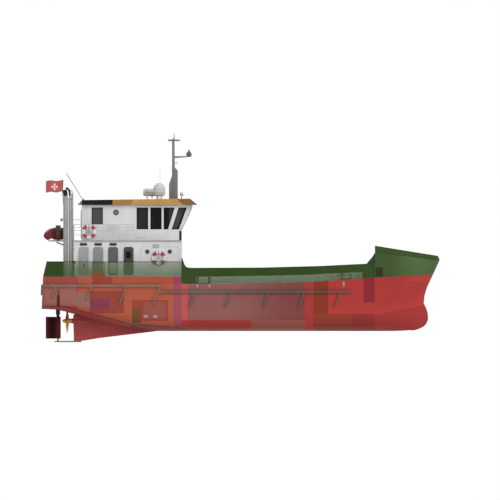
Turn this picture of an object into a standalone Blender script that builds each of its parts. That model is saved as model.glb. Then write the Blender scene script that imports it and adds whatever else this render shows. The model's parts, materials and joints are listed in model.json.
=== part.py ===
"""Aquaculture workboat, 25.8 m long: hull, house, deck gear, rescue boat and stern gear.

Metres, +X to the bow, +Y to port, +Z up. Heights below are taken above the keel's base line, as a
shipyard does, and every object hangs on an empty that lowers it by the draught, so the world's
origin lies on the centreline at frame 24, in the plane of the water.
"""

import math

import bmesh
import bpy
from mathutils import Matrix, Vector

# Driving dimensions
DRAUGHT = 1.95
FIT_GAP = 0.0003
PLATE = 0.08
CUT_PAST = 0.5
STARBOARD = -1
PORT = 1
SIDE_NAMES = {STARBOARD: "starboard", PORT: "port"}

# Hull lines
AFT_DECK_H = 3.51
TRANSOM_FOOT = (-13.06, 1.40)
TRANSOM_RAKE = 0.0427
STEM_AT_WATER = 11.66
# Stem profile, columns: x, h
STEM_PROFILE = (
    (11.09, 0.05),
    (11.53, 0.24),
    (11.84, 0.48),
    (11.93, 0.94),
    (11.88, 1.36),
    (11.66, 1.77),
    (11.72, 2.36),
    (11.91, 2.91),
    (12.26, 3.65),
)
# Hull sections, columns: x, share of the stem's rake, keel h, flat y, flat h, side y, side h, deck y, deck h
SECTIONS = (
    (-13.06, 0.00, 1.39, 2.75, 1.62, 3.25, 2.15, 3.45, AFT_DECK_H),
    (-12.10, 0.00, 1.35, 2.85, 1.55, 3.42, 2.08, 3.60, AFT_DECK_H),
    (-11.00, 0.00, 1.02, 2.95, 1.39, 3.55, 1.95, 3.70, AFT_DECK_H),
    (-9.30, 0.00, 0.55, 3.00, 0.97, 3.68, 1.65, 3.78, AFT_DECK_H),
    (-7.60, 0.00, 0.20, 3.00, 0.58, 3.76, 1.35, 3.80, AFT_DECK_H),
    (-5.80, 0.00, 0.00, 2.95, 0.33, 3.80, 1.20, 3.80, AFT_DECK_H),
    (-4.02, 0.00, 0.00, 2.90, 0.22, 3.80, 1.10, 3.80, AFT_DECK_H),
    (-4.00, 0.00, 0.00, 2.90, 0.22, 3.80, 1.10, 3.80, 3.05),
    (0.00, 0.00, 0.00, 2.90, 0.20, 3.80, 1.10, 3.80, 3.08),
    (3.90, 0.00, 0.00, 2.70, 0.20, 3.72, 1.15, 3.80, 3.16),
    (6.00, 0.05, 0.00, 2.20, 0.22, 3.35, 1.30, 3.74, 3.28),
    (8.00, 0.15, 0.00, 1.50, 0.24, 2.60, 1.45, 3.48, 3.43),
    (9.60, 0.40, 0.00, 0.90, 0.25, 1.75, 1.55, 2.95, 3.52),
    (10.70, 0.75, 0.02, 0.55, 0.24, 1.00, 1.60, 2.05, 3.59),
    (11.30, 1.00, 0.05, 0.38, 0.24, 0.36, 1.72, 0.95, 3.63),
    (11.56, 1.00, 0.05, 0.20, 0.24, 0.14, 1.76, 0.36, 3.645),
)
SECTION_PITCH = 0.75
BILGE_STEPS = 5
SIDE_STEPS = 3
# Rows of STEM_PROFILE at the flat's edge, at the side's foot and at the deck
STEM_KEYS = (1, 5, 8)

# Skeg, heel and stern gear
SKEG_HALF = 0.13
SKEG_OUTLINE = (
    (-10.97, -0.72), (-9.28, -0.45), (-5.70, -0.02), (-5.20, 0.25),
    (-7.60, 0.50), (-9.30, 0.95), (-10.60, 1.60), (-11.04, 1.75),
)
HEEL_TOP_H = -0.64
HEEL_FOOT_H = -0.72
HEEL_X = (-12.23, -10.50)
SKEG_SEAT = 0.0005
HEEL_HALF = 0.10
SHAFT_H = 0.65
SHAFT_BOSS_R = 0.17
SHAFT_BOSS_X = (-11.10, -10.20)
TUNNEL_R = 0.862
# Tunnel over the propeller, columns: x, radius
TUNNEL_RINGS = ((-13.60, TUNNEL_R), (-11.00, TUNNEL_R), (-9.80, 0.05))
TUNNEL_SIDES = 48
RUDDER_X = -12.0
RUDDER_TOP_H = 0.92
RUDDER_FOOT_H = -0.49
RUDDER_LEAD = 0.18
RUDDER_TRAIL = 0.79
RUDDER_HALF = 0.09
STOCK_R = 0.10
STOCK_TOP_H = 1.46
BEARING_FOOT_H = 1.07
BEARING_TOP_H = 1.4988
BEARING_R = 0.14
BEARING_BORE_R = 0.1025
PINTLE_R = 0.05
PINTLE_BORE_R = 0.0508
PINTLE_FOOT_H = -0.70
STERN_GEAR_SIDES = 24
PROPELLER_X = -11.40
PROPELLER_R = 0.76
PROPELLER_PITCH = 1.10
PROPELLER_BLADES = 4
# Propeller hub turned about the shaft, columns: x, radius
HUB_RINGS = ((-11.71, 0.03), (-11.66, 0.09), (-11.55, 0.135), (-11.25, 0.15),
             (SHAFT_BOSS_X[0] - FIT_GAP, 0.15))
# Propeller blade, columns: radius, chord, thickness
BLADE_RINGS = ((0.10, 0.26, 0.045), (0.28, 0.40, 0.034), (0.48, 0.47, 0.024), (0.66, 0.38, 0.016),
               (PROPELLER_R, 0.14, 0.010))

# Rooms below deck
ENGINE_ROOM_X = (-6.90, -4.70)
ENGINE_ROOM_HALF = 1.15
ENGINE_ROOM_FLOOR_H = 0.45
ENGINE_X = (-6.44, -5.08)
ENGINE_HALF = 0.45
ENGINE_H = (0.78, 1.88)
HOLD_X = (-3.00, 3.80)
HOLD_HALF = 2.0
HOLD_FLOOR_H = 0.71

# Bulwark, columns: x, rail h
RAIL_PROFILE = (
    (-12.74, 4.48), (-4.03, 4.48), (-3.985, 4.73), (-3.88, 4.40), (-3.80, 4.22), (-3.70, 4.11),
    (-3.46, 4.06), (1.20, 4.08), (4.95, 4.18), (7.97, 4.33), (8.25, 4.66), (8.40, 4.84),
    (8.47, 5.00), (8.4995, 5.05),
)
BULWARK_FLARE = 0.05
BULWARK_STEP_X = (-3.9996, -3.9992)
WELL_DECK_X = -4.00

# Forecastle
FORECASTLE_X = 8.50
FORECASTLE_WALL = 0.08
FORECASTLE_FLARE = 0.14
WHALEBACK_EDGE_H = (5.11, 4.59)
WHALEBACK_CROWN_H = (5.50, 4.84)
STEM_HALF = 0.02
STEM_HEAD = (12.69, 4.59)
STEM_CROWN = (12.57, 4.84)

# Fenders
FENDER_PROUD = 0.12
FENDER_SEAT = 0.0005
FENDER_CUT_Y = (2.6, 4.2)
FENDER_UPPER = (-12.95, -5.25, 2.83, 3.03)
FENDER_LOWER = (-5.45, 7.01, 2.44, 2.64)
FENDER_BAR_WIDTH = 0.13
# Slanted fender bars, columns: head x, head h, foot x, foot h
FENDER_BARS = (
    (-12.12, 2.95, -12.41, 2.13),
    (-9.80, 2.95, -10.19, 2.01),
    (-7.56, 2.95, -8.02, 1.73),
    (-5.34, 2.95, -5.87, 1.77),
    (-3.17, 2.55, -3.51, 1.55),
    (-0.85, 2.55, -1.20, 1.55),
    (1.60, 2.55, 1.26, 1.55),
    (3.94, 2.55, 3.59, 1.55),
    (6.28, 2.55, 5.92, 1.55),
)
STERN_FENDER_H = (2.93, 2.39)
STERN_FENDER_BAR = 0.16
STERN_FENDER_DEEP = 0.10
FENDER_END = 0.02
STERN_FENDER_HALF = 3.15
STERN_FENDER_TIES = (-2.9, -1.0, 1.0, 2.9)

# Deckhouse and boat deck
HOUSE_X = (-10.94, -4.04)
HOUSE_HALF = 2.90
BOAT_DECK_X = (-11.00, -4.00)
BOAT_DECK_FOOT_H = 5.81
BOAT_DECK_H = 5.87
BOAT_DECK_HALF = 3.00
HOUSE_WALL = 0.08
# Side doors, columns: name, aft x, forward x, has a window
SIDE_DOORS = (
    ("aft", -10.66, -10.03, False),
    ("mid_aft", -9.72, -9.09, False),
    ("mid_forward", -8.75, -8.12, False),
    ("forward", -7.75, -7.12, True),
)
DOOR_H = (3.63, 5.43)
DOOR_LAP = 0.05
DOOR_THICK = 0.05
DOOR_CORNER = 0.15
DOOR_PIN_OUT = 0.03
DOOR_PIN_AHEAD = 0.02
DOOR_WINDOW_X = (0.17, 0.43)
DOOR_WINDOW_H = (4.72, 5.13)
DOOR_WINDOW_CORNER = 0.05
PORTHOLES = ((-6.22, 5.13), (-4.77, 5.13))
PORTHOLE_R = 0.11

# Wheelhouse
WHEELHOUSE_AFT_X = -10.47
WHEELHOUSE_HALF = 2.25
WHEELHOUSE_FOOT_H = BOAT_DECK_H + FIT_GAP
WHEELHOUSE_SILL_H = 6.46
WHEELHOUSE_TOP_H = 8.155
# Plan of the wheelhouse at three levels, columns: h, side wall's end x, front x, front half width
WHEELHOUSE_PLAN = (
    (WHEELHOUSE_FOOT_H, -4.75, -4.02, 1.45),
    (WHEELHOUSE_SILL_H, -4.75, -4.02, 1.45),
    (WHEELHOUSE_TOP_H, -4.20, -3.27, 1.231),
)
# Side windows, columns: name, outline as x, h
SIDE_WINDOWS = (
    ("rear", ((-9.80, 6.92), (-9.12, 6.92), (-9.12, 7.96), (-9.80, 7.96))),
    ("first", ((-6.89, 6.60), (-6.19, 6.60), (-6.19, 7.96), (-6.89, 7.96))),
    ("second", ((-6.00, 6.60), (-5.32, 6.60), (-5.32, 7.96), (-6.00, 7.96))),
    ("third", ((-5.14, 6.60), (-4.90, 6.60), (-4.48, 7.96), (-5.14, 7.96))),
)
CORNER_WINDOW = ((-4.62, 6.60), (-4.20, 6.60), (-3.71, 7.96), (-4.18, 7.96))
ROUND_WINDOW = (-8.25, 7.67, 0.16)
FRONT_WINDOWS_Y = ((-1.10, -0.42), (-0.33, 0.33), (0.42, 1.10))
FRONT_WINDOW_H = (6.60, 7.96)
AFT_WINDOWS_Y = ((-1.75, -0.75), (0.75, 1.75))
AFT_WINDOW_H = (6.92, 7.96)
GLASS = 0.015
GLASS_H = (6.52, 8.02)
GLASS_EDGE = 0.06
FRONT_CUT_X = (-4.04, -2.90)
AFT_CUT_X = (-10.80, -10.20)
AFT_DOOR_Y = (-0.34, 0.34)
AFT_DOOR_H = (5.95, 7.85)
AFT_DOOR_WINDOW = ((-0.16, 0.16), (7.10, 7.60))

# Roof, columns: aft x, forward x, half width, h aft, h forward, front corner cut
ROOF_BRIM = (-10.75, -2.98, 2.62, WHEELHOUSE_TOP_H + FIT_GAP, WHEELHOUSE_TOP_H + FIT_GAP, 0.95)
ROOF_CROWN = (-10.43, -3.46, 2.30, 8.47, 8.56, 0.80)
ROOF_POCKET = (-10.30, -4.60, 2.00)
ROOF_POCKET_H = 8.36

# Guard rails
RAIL_BAR = 0.04
RAIL_FOOT = 0.02
RAIL_LEVELS = (6.22, 6.50, 6.69, 6.89)
RAIL_AFT_X = BOAT_DECK_X[0]
RAIL_FORWARD_X = -7.08
RAIL_POSTS = 5
RAIL_Y = 2.96
AFT_RAIL_POSTS = 6

# Cargo trunk on the main deck and its lids
TRUNK_X = (-3.23, 7.69)
TRUNK_HALF = 2.20
TRUNK_RISE = 0.46
TRUNK_WALL = 0.08
# Hatches, columns: name, aft x, forward x, hinge end
HATCHES = (("aft", -2.70, -0.20, -1), ("forward", 0.90, 3.40, 1))
HATCH_HALF = 1.50
LID_LAP = 0.10
LID_THICK = 0.07
LID_PIN_OUT = 0.02

# Deck gear
WINCH_Y = 2.82
WINCH_BASE_X = (6.24, 7.01)
WINCH_BASE_H = 3.40
WINCH_CHEEK_X = ((6.54, 6.59), (6.74, 6.79))
WINCH_AXIS_H = 3.66
WINCH_HALF = 0.24
WINCH_SHAFT_R = 0.05
WINCH_BORE_R = 0.0508
WINCH_SIDES = 24
# Winch cheek seen along the shaft, columns: y from the shaft, h
CHEEK_OUTLINE = ((-0.20, WINCH_BASE_H - 0.02), (0.20, WINCH_BASE_H - 0.02), (0.09, 3.78), (-0.09, 3.78))
# Winch drum turned about its shaft, columns: x, radius
DRUM_RINGS = (
    (6.03, 0.16), (6.07, 0.16), (6.07, 0.10), (6.17, 0.09), (6.17, 0.13), (6.20, 0.13),
    (6.20, 0.10), (6.46, 0.10), (6.46, 0.18), (6.50, 0.18), (6.50, WINCH_SHAFT_R),
    (6.83, WINCH_SHAFT_R), (6.83, 0.10), (6.97, 0.09), (6.97, 0.15), (7.01, 0.15),
)
BITT_R = 0.08
BITT_BASE = 0.04
BITT_MARGIN = 0.13
BITT_CAP = 0.03
BITT_CAP_R = 0.10
# Bitts, columns: name, first post x and y, second post x and y, height
BITTS = (
    ("aft", (-11.97, 2.55), (-11.97, 3.10), 0.44),
    ("mid", (-2.97, 3.20), (-2.22, 3.20), 0.44),
)
VENT_XY = (-11.00, 3.35)
# Mushroom vent turned about its pipe, columns: h above the deck, radius
VENT_RINGS = (
    (FIT_GAP, 0.12), (0.03, 0.12), (0.03, 0.06), (0.82, 0.06), (0.84, 0.13), (0.98, 0.13), (1.04, 0.07),
)
LOCKER_X = (-9.80, -8.96)
LOCKER_Y = (-3.665, -3.595)
LOCKER_TOP_H = 3.86

# Exhaust stack
STACK_Y = -2.62
# Pipes, columns: x, radius, top h
STACK_PIPES = ((-11.51, 0.150, 8.63), (-11.235, 0.058, 9.15), (-11.075, 0.070, 8.88))
STACK_BEND = ((-0.01, 0.25), (-0.06, 0.50))
STACK_THIN_BEND = (-0.05, 0.30)
STACK_CLAMPS_H = (4.40, 5.55, 7.00, 8.20)
STACK_CLAMP = 0.06
# Plate that ties the pipes together: half its thickness and its top
STACK_WEB = (0.012, 8.60)
STACK_WALL_X = HOUSE_X[0] - FIT_GAP
STAFF = ((-11.64, 8.05), (-11.71, 8.95), (-11.665, 9.78))
STAFF_R = 0.018
# Ensign, its hoist first, columns: x, h
FLAG_OUTLINE = (
    (-11.7234, 9.02), (-11.6854, 9.72), (-12.20, 9.66), (-12.76, 9.70), (-12.77, 8.98), (-12.25, 8.93),
)
FLAG_HALF = 0.006

# Rescue boat and cradle
RIB_X = -11.99
RIB_TUBE_R = 0.26
RIB_HALF = 0.655
RIB_TUBE_H = 6.16
RIB_STERN_Y = -1.85
RIB_TURN_Y = 0.95
RIB_BOW_REACH = 0.75
RIB_BOW_RISE = 0.29
RIB_BOW_STEPS = 6
CRADLE_H = (5.79, 5.87)
# Bars of the cradle, across the boat's keel and along it
CRADLE_Y = ((-1.20, -1.08), (1.08, 1.20))
CRADLE_X = ((-12.62, -12.50), (-11.60, -11.48), (BOAT_DECK_X[0] - 0.10, BOAT_DECK_X[0] - FIT_GAP))
RIB_KEEL_H = CRADLE_H[1] + FIT_GAP
# Bottom of the rescue boat, columns: x from its centreline, h
RIB_BOTTOM = (
    (-RIB_HALF, RIB_TUBE_H), (-0.30, RIB_KEEL_H + 0.04), (0.0, RIB_KEEL_H),
    (0.30, RIB_KEEL_H + 0.04), (RIB_HALF, RIB_TUBE_H),
)
# Stations of that bottom, columns: y, share of the width, share of the depth, rise
RIB_STATIONS = ((RIB_STERN_Y + 0.12, 1.0, 1.0, 0.0), (0.90, 1.0, 1.0, 0.0), (1.45, 0.55, 0.7, 0.16))
RIB_TRANSOM_Y = (RIB_STERN_Y + 0.12, RIB_STERN_Y + 0.18)
RIB_TRANSOM_HALF = 0.5
RIB_TRANSOM_H = (RIB_TUBE_H - 0.10, RIB_TUBE_H + 0.34)
# Outboard engine seen from ahead, columns: y out from the transom, h above the tubes' centre
OUTBOARD_OUTLINE = (
    (0.0, 0.10), (0.0, 0.36), (-0.10, 0.62), (-0.42, 0.68), (-0.48, 0.40), (-0.36, 0.22),
    (-0.32, -0.15), (-0.12, -0.15), (-0.14, 0.10),
)
OUTBOARD_HALF = 0.14

# Roof gear
ROOF_SEAT_H = 8.50
MAST_OUTLINE = (
    (-4.82, ROOF_SEAT_H), (-4.25, ROOF_SEAT_H), (-4.25, 10.38), (-4.44, 10.58),
    (-4.46, 12.30), (-4.62, 12.30), (-4.63, 10.04), (-4.82, 9.50),
)
MAST_HALF = 0.15
MAST_TAPER_H = 10.5
MAST_TAPER = 0.6
MAST_HEAD_H = (12.28, 12.39)
MAST_CROSS_X = (-4.88, -4.11)
MAST_CROSS_HALF = 0.05
MAST_YARD_X = (-4.58, -4.50)
MAST_YARD_HALF = 1.10
# Pole on the mast's head, columns: h, radius
MAST_POLE_X = -4.48
MAST_POLE = ((12.30, 0.030), (12.77, 0.025))
# Arm that carries the masthead lamp, columns: x, half width, underside h, top h
MAST_ARM = ((-4.50, 0.05, 11.17, 11.31), (-3.35, 0.04, 11.27, 11.32))
LAMP_X = -3.53
# Lamp housing turned about its axis, columns: h above the arm, radius
LAMP_RINGS = ((FIT_GAP, 0.13), (0.03, 0.17), (0.19, 0.17), (0.27, 0.09), (0.33, 0.045), (0.43, 0.035))
DOME_XY = (-5.45, -0.85)
# Satellite dome turned about its axis, columns: radius, h
DOME_RINGS = (
    (0.20, 8.71), (0.36, 8.78), (0.395, 8.95), (0.395, 9.18), (0.35, 9.38), (0.22, 9.53), (0.02, 9.58),
)
DOME_FEET_R = 0.17
DOME_FOOT = ((ROOF_SEAT_H, 0.03), (8.74, 0.03))
RAFT_Y = 0.90
RAFT_H = 8.97
# Life-raft canister turned along the boat, columns: x, radius
RAFT_RINGS = ((-6.49, 0.18), (-6.39, 0.25), (-5.44, 0.25), (-5.34, 0.18))
RAFT_CHOCKS_X = ((-6.27, -6.19), (-5.64, -5.56))
RAFT_CHOCK_HALF = 0.22
RAFT_CHOCK_TOP_H = 8.85
WHIP_Y = -1.9
WHIP_ROD = ((-10.37, 8.505), (-10.41, 8.52), (-11.46, 10.19))
WHIP_ROD_R = 0.02
WHIP_BASE = ((ROOF_SEAT_H, 0.055), (8.54, 0.045))
COMPASS_XY = (-4.00, -0.55)
COMPASS_RINGS = ((ROOF_SEAT_H, 0.03), (8.73, 0.03), (8.76, 0.13), (8.96, 0.10))

# Lifebuoys, columns: name, x, y to the face that it hangs on, h
LIFEBUOYS = (("rail", -9.99, RAIL_Y + RAIL_BAR / 2, 6.42), ("house", -5.49, HOUSE_HALF, 4.71))
LIFEBUOY_R = 0.48
LIFEBUOY_TUBE = 0.11
LIFEBUOY_FLAT = 0.62
LIFEBUOY_TURNS = 20
LIFEBUOY_SIDES = 8


def transom_x(h):
    """Raked transom at one height."""
    return TRANSOM_FOOT[0] + TRANSOM_RAKE * (h - TRANSOM_FOOT[1])


def lean_x(x, rake, h):
    """Place along the boat of a point of a section: sections near the bow lean with the stem."""
    if x <= TRANSOM_FOOT[0]:
        return transom_x(h)
    return x + rake * (stem_x(h) - STEM_AT_WATER)


def stem_x(h):
    """Stem profile at one height."""
    points = [(height, x) for x, height in STEM_PROFILE]
    return table_value(points, h)


def table_value(points, at):
    """Straight-line reading of a table of pairs."""
    if at <= points[0][0]:
        return points[0][1]
    for (a, value_a), (b, value_b) in zip(points, points[1:]):
        if at <= b:
            return value_a + (value_b - value_a) * (at - a) / (b - a)
    return points[-1][1]


def fair_slopes(places, values):
    """Slopes of a curve through the values that never swings past them."""
    steps = [(b - a) for a, b in zip(places, places[1:])]
    rises = [(b - a) / step for a, b, step in zip(values, values[1:], steps)]
    slopes = [rises[0]]
    for before, after in zip(rises, rises[1:]):
        slopes.append(2 * before * after / (before + after) if before * after > 0 else 0.0)
    return slopes + [rises[-1]]


def fair_rows(rows, pitch):
    """Rows of a table with more rows between them, on smooth curves of its first column."""
    places = [row[0] for row in rows]
    columns = [[row[i] for row in rows] for i in range(len(rows[0]))]
    slopes = [fair_slopes(places, column) for column in columns]
    fine = []
    for i, row in enumerate(rows[:-1]):
        length = places[i + 1] - places[i]
        count = max(1, math.ceil(length / pitch))
        for step in range(count):
            t = step / count
            out = []
            for column, slope in zip(columns, slopes):
                low = (1 + 2 * t) * (1 - t) ** 2 * column[i] + t * (1 - t) ** 2 * length * slope[i]
                high = t * t * (3 - 2 * t) * column[i + 1] - t * t * (1 - t) * length * slope[i + 1]
                out.append(low + high)
            fine.append(tuple(out))
    return fine + [tuple(rows[-1])]


FINE_SECTIONS = fair_rows(SECTIONS, SECTION_PITCH)


def stem_points():
    """Points of the stem that meet the points of every section, from keel to deck."""
    keyed = fair_rows([(float(i), x, h) for i, (x, h) in enumerate(STEM_PROFILE)], 0.05)
    flat, side, deck = STEM_KEYS
    spots = [0.0, float(flat)]
    spots += [flat + (side - flat) * step / (BILGE_STEPS + 1) for step in range(1, BILGE_STEPS + 1)]
    spots += [side + (deck - side) * step / (SIDE_STEPS + 1) for step in range(SIDE_STEPS + 2)]
    xs = [(i, x) for i, x, h in keyed]
    hs = [(i, h) for i, x, h in keyed]
    return [(table_value(xs, spot), 0.0, table_value(hs, spot)) for spot in spots]


def section_half(section, outset):
    """Half of one hull section from keel to deck edge, as points x, y, h."""
    x, rake, keel_h, flat_y, flat_h, side_y, side_h, deck_y, deck_h = section
    pairs = [(0.0, keel_h), (flat_y, flat_h)]
    for step in range(1, BILGE_STEPS + 1):
        t = step / (BILGE_STEPS + 1)
        y = (1 - t) ** 2 * flat_y + 2 * t * (1 - t) * side_y + t * t * side_y
        h = (1 - t) ** 2 * flat_h + 2 * t * (1 - t) * flat_h + t * t * side_h
        pairs.append((y, h))
    for step in range(SIDE_STEPS + 2):
        t = step / (SIDE_STEPS + 1)
        pairs.append((side_y + (deck_y - side_y) * t, side_h + (deck_h - side_h) * t))
    return [(lean_x(x, rake, h), y + outset if y else 0.0, h) for y, h in pairs]


def deck_edge():
    """Deck edge of every section and of the stem, as x, y, h."""
    edge = [section_half(section, 0.0)[-1] for section in FINE_SECTIONS]
    return edge + [(STEM_PROFILE[-1][0], 0.0, STEM_PROFILE[-1][1])]


def deck_y(x):
    return table_value([(px, py) for px, py, ph in deck_edge()], x)


def deck_h(x):
    return table_value([(px, ph) for px, py, ph in deck_edge()], x)


def roof_h(x):
    """Top of the wheelhouse roof, which rises a little to the front."""
    aft, forward, half, aft_h, forward_h, cut = ROOF_CROWN
    return aft_h + (forward_h - aft_h) * (x - aft) / (forward - aft)


def trunk_h(x):
    return deck_h(x) + TRUNK_RISE


# Materials
PAINTS = {
    "hull_red": ((0.38, 0.045, 0.040), 0.45, 0.0),
    "bottom_red": ((0.25, 0.030, 0.030), 0.55, 0.0),
    "bulwark_green": ((0.045, 0.105, 0.026), 0.45, 0.0),
    "house_white": ((0.66, 0.66, 0.66), 0.45, 0.0),
    "deck_grey": ((0.20, 0.21, 0.21), 0.7, 0.0),
    "door_grey": ((0.32, 0.32, 0.33), 0.5, 0.0),
    "roof_ochre": ((0.52, 0.26, 0.07), 0.55, 0.0),
    "mast_grey": ((0.16, 0.16, 0.16), 0.5, 0.0),
    "steel": ((0.45, 0.46, 0.45), 0.4, 0.6),
    "glass_dark": ((0.01, 0.01, 0.012), 0.08, 0.0),
    "bronze": ((0.46, 0.24, 0.04), 0.35, 0.9),
    "rudder_paint": ((0.06, 0.010, 0.012), 0.5, 0.0),
    "fender_rubber": ((0.12, 0.15, 0.13), 0.8, 0.0),
    "safety_orange": ((0.45, 0.05, 0.03), 0.6, 0.0),
    "plastic_white": ((0.6, 0.6, 0.6), 0.4, 0.0),
    "engine_green": ((0.10, 0.14, 0.12), 0.5, 0.2),
    "flag_cloth": ((0.5, 0.08, 0.06), 0.8, 0.0),
}


def make_material(name):
    colour, roughness, metallic = PAINTS[name]
    material = bpy.data.materials.new(name)
    material.use_nodes = True
    shader = material.node_tree.nodes["Principled BSDF"]
    shader.inputs["Base Color"].default_value = (*colour, 1.0)
    shader.inputs["Roughness"].default_value = roughness
    shader.inputs["Metallic"].default_value = metallic
    return material


def clear_scene():
    for item in list(bpy.data.objects):
        bpy.data.objects.remove(item, do_unlink=True)


def make_datum():
    """Empty at the keel's base line, under the origin in the water's plane."""
    datum = bpy.data.objects.new("keel_datum", None)
    datum.location = (0.0, 0.0, -DRAUGHT)
    bpy.context.scene.collection.objects.link(datum)
    return datum


def put(name, bm, material, origin=(0.0, 0.0, 0.0), smooth=0.0):
    """Turn a bmesh in base-line coordinates into a named object with its origin where asked."""
    bmesh.ops.translate(bm, verts=bm.verts, vec=-Vector(origin))
    mesh = bpy.data.meshes.new(name)
    bm.to_mesh(mesh)
    bm.free()
    if smooth:
        mesh.shade_smooth()
        mesh.set_sharp_from_angle(angle=math.radians(smooth))
    item = bpy.data.objects.new(name, mesh)
    item.location = origin
    item.parent = bpy.data.objects["keel_datum"]
    bpy.context.scene.collection.objects.link(item)
    if material:
        item.data.materials.append(MATERIALS[material])
    return item


def tool(name, bm):
    """A hidden helper solid that only cuts or joins."""
    item = put("tool_" + name, bm, None)
    item.hide_render = True
    item.display_type = "WIRE"
    return item


def combine(target, operation, helper):
    modifier = target.modifiers.new(helper.name, "BOOLEAN")
    modifier.operation = operation
    modifier.object = helper
    modifier.solver = "EXACT"


def cut(target, *helpers):
    for helper in helpers:
        combine(target, "DIFFERENCE", helper)


def fuse(target, *helpers):
    for helper in helpers:
        combine(target, "UNION", helper)


def add_faces(bm, loops):
    faces = [bm.faces.new(loop) for loop in loops]
    bmesh.ops.recalc_face_normals(bm, faces=faces)
    return faces


def add_loft(bm, rings):
    """Closed skin through rings of equal count, with a flat cap on each end."""
    verts = [[bm.verts.new(point) for point in ring] for ring in rings]
    loops = [verts[0], verts[-1]]
    count = len(rings[0])
    for low, high in zip(verts, verts[1:]):
        for i in range(count):
            j = (i + 1) % count
            loops.append((low[i], low[j], high[j], high[i]))
    return add_faces(bm, loops)


def add_prism(bm, outline, axis, low, high):
    """Extrude a flat outline along one axis; its pairs are the other two coordinates in order."""
    spots = {
        "x": lambda a, b, c: (c, a, b),
        "y": lambda a, b, c: (a, c, b),
        "z": lambda a, b, c: (a, b, c),
    }
    spot = spots[axis]
    return add_loft(bm, [[spot(a, b, end) for a, b in outline] for end in (low, high)])


def add_box(bm, x, y, h):
    return add_prism(bm, ((x[0], y[0]), (x[1], y[0]), (x[1], y[1]), (x[0], y[1])), "z", h[0], h[1])


def ring(centre, normal, radius, sides, phase=0.5, first=None):
    """Regular polygon about a point, square to a direction, its first corner towards a hint."""
    normal = Vector(normal).normalized()
    if first is None:
        across = Vector((0.0, 1.0, 0.0)) if abs(normal.y) < 0.9 else Vector((1.0, 0.0, 0.0))
        first = across.cross(normal)
    first = (first - normal * first.dot(normal)).normalized()
    second = normal.cross(first)
    points = []
    for i in range(sides):
        turn = 2 * math.pi * (i + phase) / sides
        points.append(Vector(centre) + radius * (math.cos(turn) * first + math.sin(turn) * second))
    return points


def add_turned(bm, axis, base, rings, sides):
    """Solid turned about an axis through base; rings are distance along it and radius."""
    direction = Vector(axis)
    return add_loft(bm, [ring(Vector(base) + direction * at, direction, r, sides) for at, r in rings])


def add_pipe(bm, path, radius, sides):
    """Round bar along a path of points, with mitred bends."""
    path = [Vector(point) for point in path]
    steep = abs((path[1] - path[0]).normalized().y) < 0.9
    hint = Vector((0.0, 1.0, 0.0)) if steep else Vector((0.0, 0.0, 1.0))
    rings = []
    for i, point in enumerate(path):
        before = (point - path[i - 1]).normalized() if i else (path[1] - point).normalized()
        after = (path[i + 1] - point).normalized() if i + 1 < len(path) else before
        rings.append(ring(point, before + after, radius, sides, first=hint))
        hint = hint - after * hint.dot(after)
    return add_loft(bm, rings)


def rounded_outline(x, h, radius, steps=3):
    """Rectangle with round corners, as pairs."""
    corners = (
        (x[1] - radius, h[1] - radius, 0.0),
        (x[0] + radius, h[1] - radius, 0.5),
        (x[0] + radius, h[0] + radius, 1.0),
        (x[1] - radius, h[0] + radius, 1.5),
    )
    outline = []
    for cx, ch, start in corners:
        for step in range(steps + 1):
            turn = math.pi * (start + 0.5 * step / steps)
            outline.append((cx + radius * math.cos(turn), ch + radius * math.sin(turn)))
    return outline


def circle_outline(x, h, radius, sides=16):
    turns = [2 * math.pi * i / sides for i in range(sides)]
    return [(x + radius * math.cos(turn), h + radius * math.sin(turn)) for turn in turns]


def add_lattice(bm, columns, rows, faces, spot):
    """Flat grid of bars in one closed skin: columns and rows are the bars' start and end pairs."""
    xs = sorted({value for bar in columns for value in bar})
    hs = sorted({value for bar in rows for value in bar})

    def solid(i, j):
        if not (0 <= i < len(xs) - 1 and 0 <= j < len(hs) - 1):
            return False
        x = (xs[i] + xs[i + 1]) / 2
        h = (hs[j] + hs[j + 1]) / 2
        return any(a < x < b for a, b in columns) or any(a < h < b for a, b in rows)

    verts = {}

    def vert(i, j, side):
        if (i, j, side) not in verts:
            verts[(i, j, side)] = bm.verts.new(spot(xs[i], hs[j], faces[side]))
        return verts[(i, j, side)]

    loops = []
    for i in range(len(xs) - 1):
        for j in range(len(hs) - 1):
            if not solid(i, j):
                continue
            corners = ((i, j), (i + 1, j), (i + 1, j + 1), (i, j + 1))
            for side in (0, 1):
                loops.append([vert(a, b, side) for a, b in corners])
            sides = (((i, j - 1), 0, 1), ((i + 1, j), 1, 2), ((i, j + 1), 2, 3), ((i - 1, j), 3, 0))
            for (near_i, near_j), a, b in sides:
                if not solid(near_i, near_j):
                    p, q = corners[a], corners[b]
                    loops.append((vert(*p, 0), vert(*q, 0), vert(*q, 1), vert(*p, 1)))
    return add_faces(bm, loops)


def even_bars(start, end, count, width):
    """Bars of one width, evenly spaced from start to end."""
    pitch = (end - start - width) / (count - 1)
    return [(start + i * pitch, start + i * pitch + width) for i in range(count)]


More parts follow.
